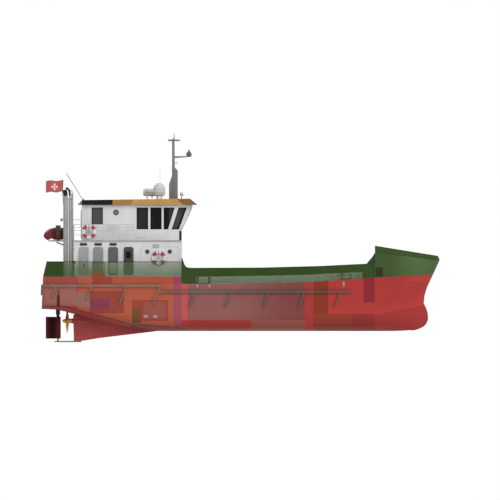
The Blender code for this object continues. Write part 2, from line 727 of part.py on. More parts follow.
# Hull
def hull_skin(outset=0.0, below=0.0):
    """Whole outside of the hull, decked, with both sides meeting on the stem.

    The skin may stand out from the sides, or hang a little below, to cut what is fitted to it.
    """
    bm = bmesh.new()
    halves = [[(x, y, h - below) for x, y, h in section_half(row, outset)] for row in FINE_SECTIONS]
    stem = stem_points()
    levels = len(stem)
    rings = []
    for half in halves:
        centre = bm.verts.new(half[0])
        deck = bm.verts.new((half[-1][0], 0.0, half[-1][2]))
        sides = {}
        for side in (STARBOARD, PORT):
            outer = [bm.verts.new((x, side * y, h)) for x, y, h in half[1:]]
            sides[side] = [centre] + outer + [deck]
        rings.append(sides)
    stem_verts = [bm.verts.new(point) for point in stem]
    rings.append({side: stem_verts + [stem_verts[-1]] for side in (STARBOARD, PORT)})
    loops = []
    for low, high in zip(rings, rings[1:]):
        for side in (STARBOARD, PORT):
            for j in range(levels):
                loop = [low[side][j], low[side][j + 1], high[side][j + 1], high[side][j]]
                loops.append(list(dict.fromkeys(loop)))
    transom = rings[0]
    loops.append(transom[STARBOARD] + transom[PORT][-2:0:-1])
    add_faces(bm, loops)
    bmesh.ops.triangulate(bm, faces=bm.faces[:])
    return bm


def build_hull():
    hull = put("hull", hull_skin(), "hull_red")
    tunnel = bmesh.new()
    add_turned(tunnel, (1, 0, 0), (0, 0, SHAFT_H), TUNNEL_RINGS, TUNNEL_SIDES)
    rooms = bmesh.new()
    add_box(rooms, ENGINE_ROOM_X, (-ENGINE_ROOM_HALF, ENGINE_ROOM_HALF), (ENGINE_ROOM_FLOOR_H, 4.0))
    add_box(rooms, HOLD_X, (-HOLD_HALF, HOLD_HALF), (HOLD_FLOOR_H, 4.0))
    cut(hull, tool("tunnel", tunnel), tool("rooms", rooms))


def build_skeg():
    """Skeg under the stern with the heel that carries the rudder and the boss of the shaft."""
    plate = bmesh.new()
    add_prism(plate, SKEG_OUTLINE, "y", -SKEG_HALF, SKEG_HALF)
    skeg = put("skeg", plate, "bottom_red")
    heel = bmesh.new()
    add_box(heel, HEEL_X, (-HEEL_HALF, HEEL_HALF), (HEEL_FOOT_H, HEEL_TOP_H))
    boss = bmesh.new()
    add_turned(boss, (1, 0, 0), (0, 0, SHAFT_H), [(x, SHAFT_BOSS_R) for x in SHAFT_BOSS_X], 20)
    fuse(skeg, tool("heel", heel), tool("shaft_boss", boss))
    pintle_hole = bmesh.new()
    through = [(h, PINTLE_BORE_R) for h in (HEEL_FOOT_H - PLATE, HEEL_TOP_H + PLATE)]
    add_turned(pintle_hole, (0, 0, 1), (RUDDER_X, 0, 0), through, STERN_GEAR_SIDES)
    cut(skeg, tool("hull_over_skeg", hull_skin(0.0, SKEG_SEAT)), tool("pintle_hole", pintle_hole))


def build_engine():
    bm = bmesh.new()
    foot_h = ENGINE_ROOM_FLOOR_H + FIT_GAP
    low_h, top_h = ENGINE_H
    half = ENGINE_HALF
    outline = (
        (-half, foot_h), (-half + 0.14, foot_h), (-half + 0.14, low_h), (half - 0.14, low_h),
        (half - 0.14, foot_h), (half, foot_h), (half, top_h), (-half, top_h),
    )
    add_prism(bm, outline, "x", *ENGINE_X)
    put("main_engine", bm, "engine_green")


def build_rudder():
    axis = ((0, 0, 1), (RUDDER_X, 0, 0))
    bearing = bmesh.new()
    add_turned(bearing, *axis, [(h, BEARING_R) for h in (BEARING_FOOT_H, BEARING_TOP_H)], STERN_GEAR_SIDES)
    bore = bmesh.new()
    through = [(h, BEARING_BORE_R) for h in (BEARING_FOOT_H - PLATE, BEARING_TOP_H + PLATE)]
    add_turned(bore, *axis, through, STERN_GEAR_SIDES)
    cut(put("rudder_bearing", bearing, "mast_grey"), tool("bearing_bore", bore))

    blade = bmesh.new()
    nose = RUDDER_X + RUDDER_LEAD
    tail = RUDDER_X - RUDDER_TRAIL
    outline = [
        (nose, 0.0), (nose - 0.05, RUDDER_HALF * 0.7), (nose - 0.18, RUDDER_HALF),
        (nose - 0.45, RUDDER_HALF * 0.85), (tail, 0.012),
    ]
    outline += [(x, -y) for x, y in reversed(outline[1:])]
    add_prism(blade, outline, "z", RUDDER_FOOT_H, RUDDER_TOP_H)
    stock = bmesh.new()
    rings = ((PINTLE_FOOT_H, PINTLE_R), (RUDDER_FOOT_H + 0.05, PINTLE_R), (RUDDER_TOP_H - 0.1, PINTLE_R),
             (RUDDER_TOP_H - 0.05, STOCK_R), (STOCK_TOP_H, STOCK_R))
    add_turned(stock, *axis, rings, STERN_GEAR_SIDES)
    rudder = put("rudder", blade, "rudder_paint", origin=(RUDDER_X, 0.0, 0.0))
    fuse(rudder, tool("rudder_stock", stock))


def blade_ring(radius, chord, thickness, turn):
    """One section of a propeller blade, wrapped round the shaft at its pitch."""
    pitch = math.atan2(PROPELLER_PITCH, 2 * math.pi * radius)
    points = []
    for along, out in ((-0.5, 0.0), (-0.15, 0.5), (0.25, 0.4), (0.5, 0.0), (0.25, -0.4), (-0.15, -0.5)):
        axial = along * chord * math.sin(pitch) + out * thickness * math.cos(pitch)
        around = along * chord * math.cos(pitch) - out * thickness * math.sin(pitch)
        angle = turn + around / radius
        point = (PROPELLER_X + axial, radius * math.sin(angle), SHAFT_H + radius * math.cos(angle))
        points.append(point)
    return points


def build_propeller():
    hub = bmesh.new()
    add_turned(hub, (1, 0, 0), (0, 0, SHAFT_H), HUB_RINGS, 20)
    propeller = put("propeller", hub, "bronze", origin=(PROPELLER_X, 0.0, SHAFT_H))
    for index in range(PROPELLER_BLADES):
        blade = bmesh.new()
        turn = 2 * math.pi * index / PROPELLER_BLADES
        add_loft(blade, [blade_ring(*row, turn) for row in BLADE_RINGS])
        bmesh.ops.triangulate(blade, faces=blade.faces[:])
        fuse(propeller, tool("blade_%d" % index, blade))


# Bulwark and forecastle
def bulwark_bottom(x):
    """Foot of the bulwark: it follows the deck edge and steps down just ahead of the deck's step."""
    if x <= BULWARK_STEP_X[0]:
        return AFT_DECK_H + FIT_GAP
    return deck_h(max(x, WELL_DECK_X)) + FIT_GAP


def build_bulwark(side):
    breaks = {px for px, py, ph in deck_edge() if RAIL_PROFILE[0][0] < px < RAIL_PROFILE[-1][0]}
    breaks |= {x for x, h in RAIL_PROFILE[1:]} | set(BULWARK_STEP_X)
    start = transom_x(AFT_DECK_H) + FIT_GAP
    spots = [(start, RAIL_PROFILE[0][0])] + [(x, x) for x in sorted(breaks)]
    rings = []
    for foot_x, head_x in spots:
        outer = deck_y(foot_x)
        top = table_value(RAIL_PROFILE, head_x)
        foot = bulwark_bottom(foot_x)
        rings.append([
            (foot_x, side * outer, foot), (head_x, side * (outer + BULWARK_FLARE), top),
            (head_x, side * (outer + BULWARK_FLARE - PLATE), top), (foot_x, side * (outer - PLATE), foot),
        ])
    bm = bmesh.new()
    add_loft(bm, rings)
    put("bulwark_" + SIDE_NAMES[side], bm, "bulwark_green")


def build_stern_bulwark():
    foot_x = transom_x(AFT_DECK_H)
    head_x, head_h = RAIL_PROFILE[0]
    half = deck_y(foot_x) - PLATE - FIT_GAP
    foot = AFT_DECK_H + FIT_GAP
    outline = ((foot_x, foot), (head_x, head_h), (head_x + PLATE, head_h), (foot_x + PLATE, foot))
    bm = bmesh.new()
    add_prism(bm, outline, "y", -half, half)
    put("bulwark_stern", bm, "bulwark_green")


def forecastle_rows(inset):
    """Sections of the forecastle from its open aft end: foot, edge and crown, each as x, y, h."""
    starts = [(FORECASTLE_X, deck_y(FORECASTLE_X), deck_h(FORECASTLE_X))]
    starts += [point for point in deck_edge() if point[0] > FORECASTLE_X]
    stem_foot = starts[-1][0]
    rows = []
    for x, y, h in starts[:-1]:
        share = (x - FORECASTLE_X) / (stem_foot - FORECASTLE_X)
        lean = share ** 1.5
        edge_h, crown_h = (
            aft + share * (bow - aft) - inset for aft, bow in (WHALEBACK_EDGE_H, WHALEBACK_CROWN_H)
        )
        foot = (x, y - inset, h + FIT_GAP)
        edge = (x + lean * (STEM_HEAD[0] - stem_foot), y + FORECASTLE_FLARE - inset, edge_h)
        crown = (x + lean * (STEM_CROWN[0] - stem_foot), 0.0, crown_h)
        rows.append((foot, edge, crown))
    return rows


def mirror_ring(half):
    """Whole ring from its starboard half, which ends on the centreline."""
    return [(x, -y, h) for x, y, h in half] + [(x, y, h) for x, y, h in half[-2::-1]]


def forecastle_skin():
    bm = bmesh.new()
    stem_x_foot, stem_h_foot = STEM_PROFILE[-1]
    rings = [mirror_ring(row) for row in forecastle_rows(0.0)]
    stem = (
        (stem_x_foot, STEM_HALF, stem_h_foot + FIT_GAP),
        (STEM_HEAD[0], STEM_HALF, STEM_HEAD[1]),
        (STEM_CROWN[0], 0.0, STEM_CROWN[1]),
    )
    add_loft(bm, rings + [mirror_ring(stem)])
    bmesh.ops.triangulate(bm, faces=bm.faces[:], quad_method="FIXED")
    return bm


def forecastle_hollow():
    """Room under the whaleback: open aft, and down to the deck."""
    bm = bmesh.new()
    rows = forecastle_rows(FORECASTLE_WALL)[:-1]
    rings = []
    for foot, edge, crown in rows:
        below = (foot[0], foot[1], foot[2] - 0.5)
        rings.append(mirror_ring((below, foot, edge, crown)))
    opening = [(x - 0.5, y, h) for x, y, h in rings[0]]
    add_loft(bm, [opening] + rings)
    bmesh.ops.triangulate(bm, faces=bm.faces[:], quad_method="FIXED")
    return bm


def build_forecastle():
    shell = put("forecastle", forecastle_skin(), "bulwark_green")
    cut(shell, tool("forecastle_inside", forecastle_hollow()))


# Fenders
def build_fender(side, hull_inner, hull_outer):
    """Both strips and the slanted bars, cut to a band that follows the hull's skin."""
    across = sorted((side * FENDER_CUT_Y[0], side * FENDER_CUT_Y[1]))
    upper = bmesh.new()
    add_box(upper, FENDER_UPPER[:2], across, FENDER_UPPER[2:])
    fender = put("fender_" + SIDE_NAMES[side], upper, "fender_rubber")
    lower = bmesh.new()
    add_box(lower, FENDER_LOWER[:2], across, FENDER_LOWER[2:])
    pieces = [tool("fender_lower_" + SIDE_NAMES[side], lower)]
    half = FENDER_BAR_WIDTH / 2
    bars = sorted(FENDER_BARS, key=lambda row: abs(row[0] - FENDER_UPPER[1]))
    for index, (head_x, head_h, foot_x, foot_h) in enumerate(bars):
        bar = bmesh.new()
        head = [(head_x - half, head_h), (head_x + half, head_h)]
        foot = [(foot_x + half, foot_h), (foot_x - half, foot_h)]
        add_prism(bar, head + foot, "y", *across)
        pieces.append(tool("fender_bar_%s_%d" % (SIDE_NAMES[side], index), bar))
    fuse(fender, *pieces)
    combine(fender, "INTERSECT", hull_outer)
    cut(fender, hull_inner)


def build_fenders():
    inner = tool("hull_side_inner", hull_skin(FENDER_SEAT))
    outer = tool("hull_side_outer", hull_skin(FENDER_PROUD))
    for side in (STARBOARD, PORT):
        build_fender(side, inner, outer)


def build_stern_fender():
    """Two rubber bars across the transom, tied by short uprights."""
    half = STERN_FENDER_BAR / 2
    end = STERN_FENDER_HALF
    columns = [(y - half, y + half) for y in STERN_FENDER_TIES]
    columns += [(-end, FENDER_END - end), (end - FENDER_END, end)]
    rows = [(h - half, h + half) for h in STERN_FENDER_H]
    depths = (-FIT_GAP, -STERN_FENDER_DEEP)
    bm = bmesh.new()
    add_lattice(bm, columns, rows, depths, lambda y, h, depth: (transom_x(h) + depth, y, h))
    put("fender_stern", bm, "fender_rubber")


# Deckhouse
def doorway_outline(along, h):
    """Hole behind a door whose leaf laps the wall all round."""
    lap = DOOR_LAP
    return rounded_outline((along[0] + lap, along[1] - lap), (h[0] + lap, h[1] - lap), DOOR_CORNER - lap)


def build_deckhouse():
    foot = AFT_DECK_H + FIT_GAP
    top = BOAT_DECK_FOOT_H - FIT_GAP
    bm = bmesh.new()
    add_box(bm, HOUSE_X, (-HOUSE_HALF, HOUSE_HALF), (foot, top))
    house = put("deckhouse", bm, "house_white")
    inside = bmesh.new()
    inner = HOUSE_HALF - HOUSE_WALL
    inner_x = (HOUSE_X[0] + HOUSE_WALL, HOUSE_X[1] - HOUSE_WALL)
    add_box(inside, inner_x, (-inner, inner), (foot - CUT_PAST, top + CUT_PAST))
    holes = bmesh.new()
    across = (-HOUSE_HALF - CUT_PAST, HOUSE_HALF + CUT_PAST)
    for name, aft, forward, has_window in SIDE_DOORS:
        add_prism(holes, doorway_outline((aft, forward), DOOR_H), "y", *across)
    for x, h in PORTHOLES:
        add_prism(holes, circle_outline(x, h, PORTHOLE_R), "y", *across)
    cut(house, tool("deckhouse_inside", inside), tool("deckhouse_holes", holes))


def build_side_door(side, name, aft, forward, has_window):
    """Weathertight door: its leaf laps the wall outside, on a pin just clear of its forward edge."""
    near = side * (HOUSE_HALF + FIT_GAP)
    far = side * (HOUSE_HALF + FIT_GAP + DOOR_THICK)
    bm = bmesh.new()
    add_prism(bm, rounded_outline((aft, forward), DOOR_H, DOOR_CORNER), "y", near, far)
    pin = (forward + DOOR_PIN_AHEAD, side * (HOUSE_HALF + DOOR_PIN_OUT), DOOR_H[0])
    door = put("door_%s_%s" % (name, SIDE_NAMES[side]), bm, "door_grey", origin=pin)
    if has_window:
        hole = bmesh.new()
        outline = rounded_outline([aft + x for x in DOOR_WINDOW_X], DOOR_WINDOW_H, DOOR_WINDOW_CORNER)
        add_prism(hole, outline, "y", near - side * CUT_PAST, far + side * CUT_PAST)
        cut(door, tool("door_window_%s_%s" % (name, SIDE_NAMES[side]), hole))


def build_boat_deck():
    bm = bmesh.new()
    add_box(bm, BOAT_DECK_X, (-BOAT_DECK_HALF, BOAT_DECK_HALF), (BOAT_DECK_FOOT_H, BOAT_DECK_H))
    put("boat_deck", bm, "deck_grey")


# Wheelhouse
def inset_plan(points, distance):
    """Move every side of a convex plan inwards by one distance; points run anticlockwise."""
    points = [Vector(point) for point in points]
    lines = []
    for i, point in enumerate(points):
        along = (points[(i + 1) % len(points)] - point).normalized()
        lines.append((point + distance * Vector((-along.y, along.x)), along))
    corners = []
    for i, (start, along) in enumerate(lines):
        before_start, before_along = lines[i - 1]
        turn = before_along.cross(along)
        reach = (start - before_start).cross(along) / turn
        corners.append(before_start + before_along * reach)
    return corners


def wheelhouse_ring(level, inset):
    """Plan of the wheelhouse at one height: aft wall, side walls, cut corners and front."""
    sill, top = WHEELHOUSE_PLAN[1], WHEELHOUSE_PLAN[2]
    share = max(0.0, (level - sill[0]) / (top[0] - sill[0]))
    side_x, front_x, front_half = (low + (high - low) * share for low, high in zip(sill[1:], top[1:]))
    half = WHEELHOUSE_HALF
    plan = [
        (WHEELHOUSE_AFT_X, -half), (side_x, -half), (front_x, -front_half),
        (front_x, front_half), (side_x, half), (WHEELHOUSE_AFT_X, half),
    ]
    return [(point[0], point[1], level) for point in inset_plan(plan, inset)]


def build_wheelhouse():
    bm = bmesh.new()
    add_loft(bm, [wheelhouse_ring(row[0], 0.0) for row in WHEELHOUSE_PLAN])
    shell = put("wheelhouse", bm, "house_white")
    inside = bmesh.new()
    rings = [wheelhouse_ring(row[0], HOUSE_WALL) for row in WHEELHOUSE_PLAN]
    below = [(x, y, h - CUT_PAST) for x, y, h in rings[0]]
    above = [(x, y, h + CUT_PAST) for x, y, h in rings[-1]]
    add_loft(inside, [below] + rings + [above])
    holes = bmesh.new()
    across = (-WHEELHOUSE_HALF - CUT_PAST, WHEELHOUSE_HALF + CUT_PAST)
    for name, outline in SIDE_WINDOWS:
        add_prism(holes, outline, "y", *across)
    add_prism(holes, CORNER_WINDOW, "y", *across)
    x, h, radius = ROUND_WINDOW
    add_prism(holes, circle_outline(x, h, radius), "y", *across)
    for low, high in FRONT_WINDOWS_Y:
        add_box(holes, FRONT_CUT_X, (low, high), FRONT_WINDOW_H)
    for low, high in AFT_WINDOWS_Y:
        add_box(holes, AFT_CUT_X, (low, high), AFT_WINDOW_H)
    add_prism(holes, doorway_outline(AFT_DOOR_Y, AFT_DOOR_H), "x", *AFT_CUT_X)
    cut(shell, tool("wheelhouse_inside", inside), tool("wheelhouse_holes", holes))


def build_side_glass(side):
    """Sheet of glass behind the side wall's windows."""
    near = side * (WHEELHOUSE_HALF - HOUSE_WALL - FIT_GAP)
    far = side * (WHEELHOUSE_HALF - HOUSE_WALL - FIT_GAP - GLASS)
    aft = SIDE_WINDOWS[0][1][0][0] - GLASS_EDGE
    low_end, high_end = (wheelhouse_ring(h, HOUSE_WALL)[1][0] - GLASS_EDGE for h in GLASS_H)
    outline = ((aft, GLASS_H[0]), (low_end, GLASS_H[0]), (high_end, GLASS_H[1]), (aft, GLASS_H[1]))
    bm = bmesh.new()
    add_prism(bm, outline, "y", near, far)
    put("glass_side_" + SIDE_NAMES[side], bm, "glass_dark")


def build_front_glass():
    """One wrapped sheet behind the front windows and both raked corners."""
    rings = []
    for h in GLASS_H:
        outer = wheelhouse_ring(h, HOUSE_WALL + 2 * FIT_GAP)
        inner = wheelhouse_ring(h, HOUSE_WALL + 2 * FIT_GAP + GLASS)
        start, front, front_port, end = (Vector(point) for point in outer[1:5])
        trim = (front - start).normalized() * GLASS_EDGE
        inner_start = Vector(inner[1])
        start += trim
        inner_start += trim
        end.xy = (start.x, -start.y)
        inner_end = Vector((inner_start.x, -inner_start.y, h))
        inside = [inner_end, Vector(inner[3]), Vector(inner[2]), inner_start]
        rings.append([start, front, front_port, end] + inside)
    bm = bmesh.new()
    add_loft(bm, rings)
    bmesh.ops.triangulate(bm, faces=bm.faces[:])
    put("glass_front", bm, "glass_dark")


def build_aft_glass(side):
    """Pane behind one of the two windows in the wheelhouse's aft wall."""
    near = WHEELHOUSE_AFT_X + HOUSE_WALL + FIT_GAP
    low, high = AFT_WINDOWS_Y[1]
    across = sorted((side * (low - GLASS_EDGE), side * (high + GLASS_EDGE)))
    levels = (AFT_WINDOW_H[0] - GLASS_EDGE, AFT_WINDOW_H[1] + GLASS_EDGE)
    bm = bmesh.new()
    add_box(bm, (near, near + GLASS), across, levels)
    put("glass_aft_" + SIDE_NAMES[side], bm, "glass_dark")


def build_aft_door():
    """Sliding door on the wheelhouse's aft wall: it runs to port along the wall."""
    near = WHEELHOUSE_AFT_X - FIT_GAP
    bm = bmesh.new()
    add_prism(bm, rounded_outline(AFT_DOOR_Y, AFT_DOOR_H, DOOR_CORNER), "x", near - DOOR_THICK, near)
    door = put("door_wheelhouse", bm, "door_grey", origin=(near, 0.0, AFT_DOOR_H[0]))
    hole = bmesh.new()
    outline = rounded_outline(*AFT_DOOR_WINDOW, DOOR_WINDOW_CORNER)
    add_prism(hole, outline, "x", near - 2 * DOOR_THICK, near + DOOR_THICK)
    cut(door, tool("door_window_wheelhouse", hole))


def roof_ring(row):
    """Plan of the roof at its brim or crown, with the two front corners cut off."""
    aft, forward, half, aft_h, forward_h, corner = row
    plan = (
        (aft, -half), (forward - corner, -half), (forward, corner - half),
        (forward, half - corner), (forward - corner, half), (aft, half),
    )
    return [(x, y, aft_h + (forward_h - aft_h) * (x - aft) / (forward - aft)) for x, y in plan]


def build_roof():
    bm = bmesh.new()
    add_loft(bm, [roof_ring(ROOF_BRIM), roof_ring(ROOF_CROWN)])
    roof = put("wheelhouse_roof", bm, "roof_ochre")
    pocket = bmesh.new()
    aft, forward, half = ROOF_POCKET
    add_box(pocket, (aft, forward), (-half, half), (WHEELHOUSE_TOP_H - PLATE, ROOF_POCKET_H))
    cut(roof, tool("roof_pocket", pocket))


# Guard rails
def rail_rows():
    """Foot plate and rails of the guard rail, as height pairs."""
    foot = BOAT_DECK_H + FIT_GAP
    return [(foot, foot + RAIL_FOOT)] + [(h - RAIL_BAR / 2, h + RAIL_BAR / 2) for h in RAIL_LEVELS]


def build_guard_rail():
    """One rail round the boat deck's aft end and along both its sides."""
    half = RAIL_Y + RAIL_BAR / 2
    across = bmesh.new()
    columns = even_bars(-half, half, AFT_RAIL_POSTS, RAIL_BAR)
    depths = (RAIL_AFT_X, RAIL_AFT_X + RAIL_BAR)
    add_lattice(across, columns, rail_rows(), depths, lambda y, h, x: (x, y, h))
    rail = put("guard_rail", across, "steel")
    for side in (STARBOARD, PORT):
        along = bmesh.new()
        columns = even_bars(RAIL_AFT_X + RAIL_BAR / 2, RAIL_FORWARD_X, RAIL_POSTS, RAIL_BAR)
        faces = (side * (RAIL_Y - RAIL_BAR / 2), side * half)
        add_lattice(along, columns, rail_rows(), faces, lambda x, h, y: (x, y, h))
        fuse(rail, tool("guard_rail_" + SIDE_NAMES[side], along))


# Cargo trunk and lids
def trunk_breaks(start, end):
    inner = [px for px, py, ph in deck_edge() if start < px < end]
    return [start] + inner + [end]


def add_trunk_slab(bm, x, half, low, high):
    """Slab over the deck between two heights above it, following the deck's sheer."""
    rings = []
    for at in trunk_breaks(*x):
        foot = deck_h(at) + low
        head = deck_h(at) + high
        rings.append([(at, -half, foot), (at, half, foot), (at, half, head), (at, -half, head)])
    add_loft(bm, rings)


def build_trunk():
    bm = bmesh.new()
    add_trunk_slab(bm, TRUNK_X, TRUNK_HALF, FIT_GAP, TRUNK_RISE)
    trunk = put("cargo_trunk", bm, "bulwark_green")
    inside = bmesh.new()
    inner_x = (TRUNK_X[0] + TRUNK_WALL, TRUNK_X[1] - TRUNK_WALL)
    add_trunk_slab(inside, inner_x, TRUNK_HALF - TRUNK_WALL, -CUT_PAST, TRUNK_RISE - TRUNK_WALL)
    holes = bmesh.new()
    for name, aft, forward, end in HATCHES:
        add_trunk_slab(holes, (aft, forward), HATCH_HALF, 0.0, TRUNK_RISE + CUT_PAST)
    cut(trunk, tool("trunk_inside", inside), tool("trunk_holes", holes))


def build_lid(name, aft, forward, end):
    lap_x = (aft - LID_LAP, forward + LID_LAP)
    half = HATCH_HALF + LID_LAP
    pin_x = lap_x[0] - LID_PIN_OUT if end < 0 else lap_x[1] + LID_PIN_OUT
    pin_h = trunk_h(lap_x[0] if end < 0 else lap_x[1]) + LID_THICK / 2
    bm = bmesh.new()
    add_trunk_slab(bm, lap_x, half, TRUNK_RISE + FIT_GAP, TRUNK_RISE + FIT_GAP + LID_THICK)
    put("hatch_lid_" + name, bm, "deck_grey", origin=(pin_x, 0.0, pin_h))


# Deck gear
def build_winch(side):
    y = side * WINCH_Y
    base = bmesh.new()
    add_deck_plate(base, WINCH_BASE_X, (y - WINCH_HALF, y + WINCH_HALF), WINCH_BASE_H)
    frame = put("winch_frame_" + SIDE_NAMES[side], base, "steel")
    for index, (aft, forward) in enumerate(WINCH_CHEEK_X):
        cheek = bmesh.new()
        add_prism(cheek, [(y + out, h) for out, h in CHEEK_OUTLINE], "x", aft, forward)
        fuse(frame, tool("winch_cheek_%s_%d" % (SIDE_NAMES[side], index), cheek))
    axis = ((1, 0, 0), (0, y, WINCH_AXIS_H))
    bore = bmesh.new()
    through = [(x, WINCH_BORE_R) for x in (WINCH_CHEEK_X[0][0] - PLATE, WINCH_CHEEK_X[1][1] + PLATE)]
    add_turned(bore, *axis, through, WINCH_SIDES)
    cut(frame, tool("winch_bore_" + SIDE_NAMES[side], bore))
    drum = bmesh.new()
    add_turned(drum, *axis, DRUM_RINGS, WINCH_SIDES)
    put("winch_drum_" + SIDE_NAMES[side], drum, "mast_grey", origin=(WINCH_CHEEK_X[0][0], y, WINCH_AXIS_H))


def add_deck_plate(bm, x, y, top):
    """Plate lying on the sloping deck, level on top."""
    rings = []
    for at in x:
        foot = deck_h(at) + FIT_GAP
        rings.append([(at, y[0], foot), (at, y[1], foot), (at, y[1], top), (at, y[0], top)])
    return add_loft(bm, rings)


def build_bitts(side, name, first, second, height):
    base = bmesh.new()
    xs = sorted((first[0], second[0]))
    ys = sorted((side * first[1], side * second[1]))
    plate_x = (xs[0] - BITT_MARGIN, xs[1] + BITT_MARGIN)
    deck = deck_h(plate_x[1])
    plate_h = deck + BITT_BASE
    add_deck_plate(base, plate_x, (ys[0] - BITT_MARGIN, ys[1] + BITT_MARGIN), plate_h)
    bitts = put("bitts_%s_%s" % (name, SIDE_NAMES[side]), base, "mast_grey")
    cap_h = deck + height - BITT_CAP
    rings = (
        (plate_h - BITT_BASE / 2, BITT_R), (cap_h, BITT_R), (cap_h, BITT_CAP_R), (deck + height, BITT_CAP_R),
    )
    for index, (px, py) in enumerate((first, second)):
        post = bmesh.new()
        add_turned(post, (0, 0, 1), (px, side * py, 0), rings, 14)
        fuse(bitts, tool("bitt_%s_%s_%d" % (name, SIDE_NAMES[side], index), post))


def build_vent(side):
    bm = bmesh.new()
    add_turned(bm, (0, 0, 1), (VENT_XY[0], side * VENT_XY[1], AFT_DECK_H), VENT_RINGS, 14)
    put("vent_" + SIDE_NAMES[side], bm, "bulwark_green")


def build_locker():
    bm = bmesh.new()
    add_box(bm, LOCKER_X, LOCKER_Y, (AFT_DECK_H + FIT_GAP, LOCKER_TOP_H))
    put("deck_locker", bm, "safety_orange")


# Exhaust stack
def build_stack():
    """Main exhaust with two thinner pipes and the flagstaff, clamped together and to the house."""
    foot = AFT_DECK_H + FIT_GAP
    x, radius, top = STACK_PIPES[0]
    main = bmesh.new()
    path = [(x, STACK_Y, foot), (x, STACK_Y, top)]
    path += [(x + ahead, STACK_Y, top + above) for ahead, above in STACK_BEND]
    add_pipe(main, path, radius, 16)
    stack = put("exhaust_stack", main, "steel")
    x, radius, top = STACK_PIPES[1]
    ahead, bend = STACK_THIN_BEND
    thin = bmesh.new()
    add_pipe(thin, ((x, STACK_Y, foot), (x, STACK_Y, top - bend), (x + ahead, STACK_Y, top)), radius, 12)
    x, radius, top = STACK_PIPES[2]
    vent = bmesh.new()
    add_pipe(vent, ((x, STACK_Y, foot), (x, STACK_Y, top)), radius, 12)
    staff = bmesh.new()
    add_pipe(staff, [(x, STACK_Y, h) for x, h in STAFF], STAFF_R, 8)
    helpers = [tool("stack_thin", thin), tool("stack_vent", vent), tool("flagstaff", staff)]
    thin_half, web_top = STACK_WEB
    web = bmesh.new()
    ends = (STACK_PIPES[0][0], STACK_PIPES[2][0])
    add_box(web, ends, (STACK_Y - thin_half, STACK_Y + thin_half), (foot, web_top))
    helpers.append(tool("stack_web", web))
    half = STACK_CLAMP / 2
    for index, h in enumerate(STACK_CLAMPS_H):
        clamp = bmesh.new()
        reach = STACK_WALL_X if h < BOAT_DECK_FOOT_H else STACK_PIPES[2][0] + half
        add_box(clamp, (STACK_PIPES[0][0], reach), (STACK_Y - half, STACK_Y + half), (h, h + STACK_CLAMP))
        helpers.append(tool("stack_clamp_%d" % index, clamp))
    fuse(stack, *helpers)


def build_flag():
    flag = bmesh.new()
    add_prism(flag, FLAG_OUTLINE, "y", STACK_Y - FLAG_HALF, STACK_Y + FLAG_HALF)
    put("ensign", flag, "flag_cloth")


# Rescue boat
def build_cradle():
    """Cantilever platform on the deckhouse's aft wall, under the rescue boat."""
    bm = bmesh.new()
    add_lattice(bm, CRADLE_Y, CRADLE_X, CRADLE_H, lambda y, x, h: (x, y, h))
    put("boat_cradle", bm, "steel")


def build_rescue_boat():
    """Rigid inflatable stowed athwartships: one tube round the bow, a vee bottom and a transom."""
    tubes = bmesh.new()
    path = [(RIB_X - RIB_HALF, RIB_STERN_Y, RIB_TUBE_H)]
    for step in range(RIB_BOW_STEPS + 1):
        turn = math.pi * (1 - step / RIB_BOW_STEPS)
        x = RIB_X + RIB_HALF * math.cos(turn)
        bow = math.sin(turn)
        path.append((x, RIB_TURN_Y + RIB_BOW_REACH * bow, RIB_TUBE_H + RIB_BOW_RISE * bow))
    path.append((RIB_X + RIB_HALF, RIB_STERN_Y, RIB_TUBE_H))
    add_pipe(tubes, path, RIB_TUBE_R, 12)
    boat = put("rescue_boat", tubes, "safety_orange")
    shell = bmesh.new()
    rings = []
    for y, width, depth, rise in RIB_STATIONS:
        half = [(RIB_X + x * width, y, RIB_TUBE_H + rise - (RIB_TUBE_H - h) * depth) for x, h in RIB_BOTTOM]
        rings.append(half)
    add_loft(shell, rings)
    transom = bmesh.new()
    add_box(transom, (RIB_X - RIB_TRANSOM_HALF, RIB_X + RIB_TRANSOM_HALF), RIB_TRANSOM_Y, RIB_TRANSOM_H)
    fuse(boat, tool("rib_shell", shell), tool("rib_transom", transom))


def build_outboard():
    """Outboard engine clamped on the rescue boat's transom, which faces starboard."""
    face = RIB_TRANSOM_Y[0] - FIT_GAP
    bm = bmesh.new()
    outline = [(face + out, RIB_TUBE_H + above) for out, above in OUTBOARD_OUTLINE]
    add_prism(bm, outline, "x", RIB_X - OUTBOARD_HALF, RIB_X + OUTBOARD_HALF)
    put("outboard_engine", bm, "mast_grey")


# Roof gear
def stand_on_roof(bm):
    """Bring every vertex at the nominal seat height to the sloping roof."""
    for vert in bm.verts:
        if abs(vert.co.z - ROOF_SEAT_H) < FIT_GAP:
            vert.co.z = roof_h(vert.co.x) + FIT_GAP


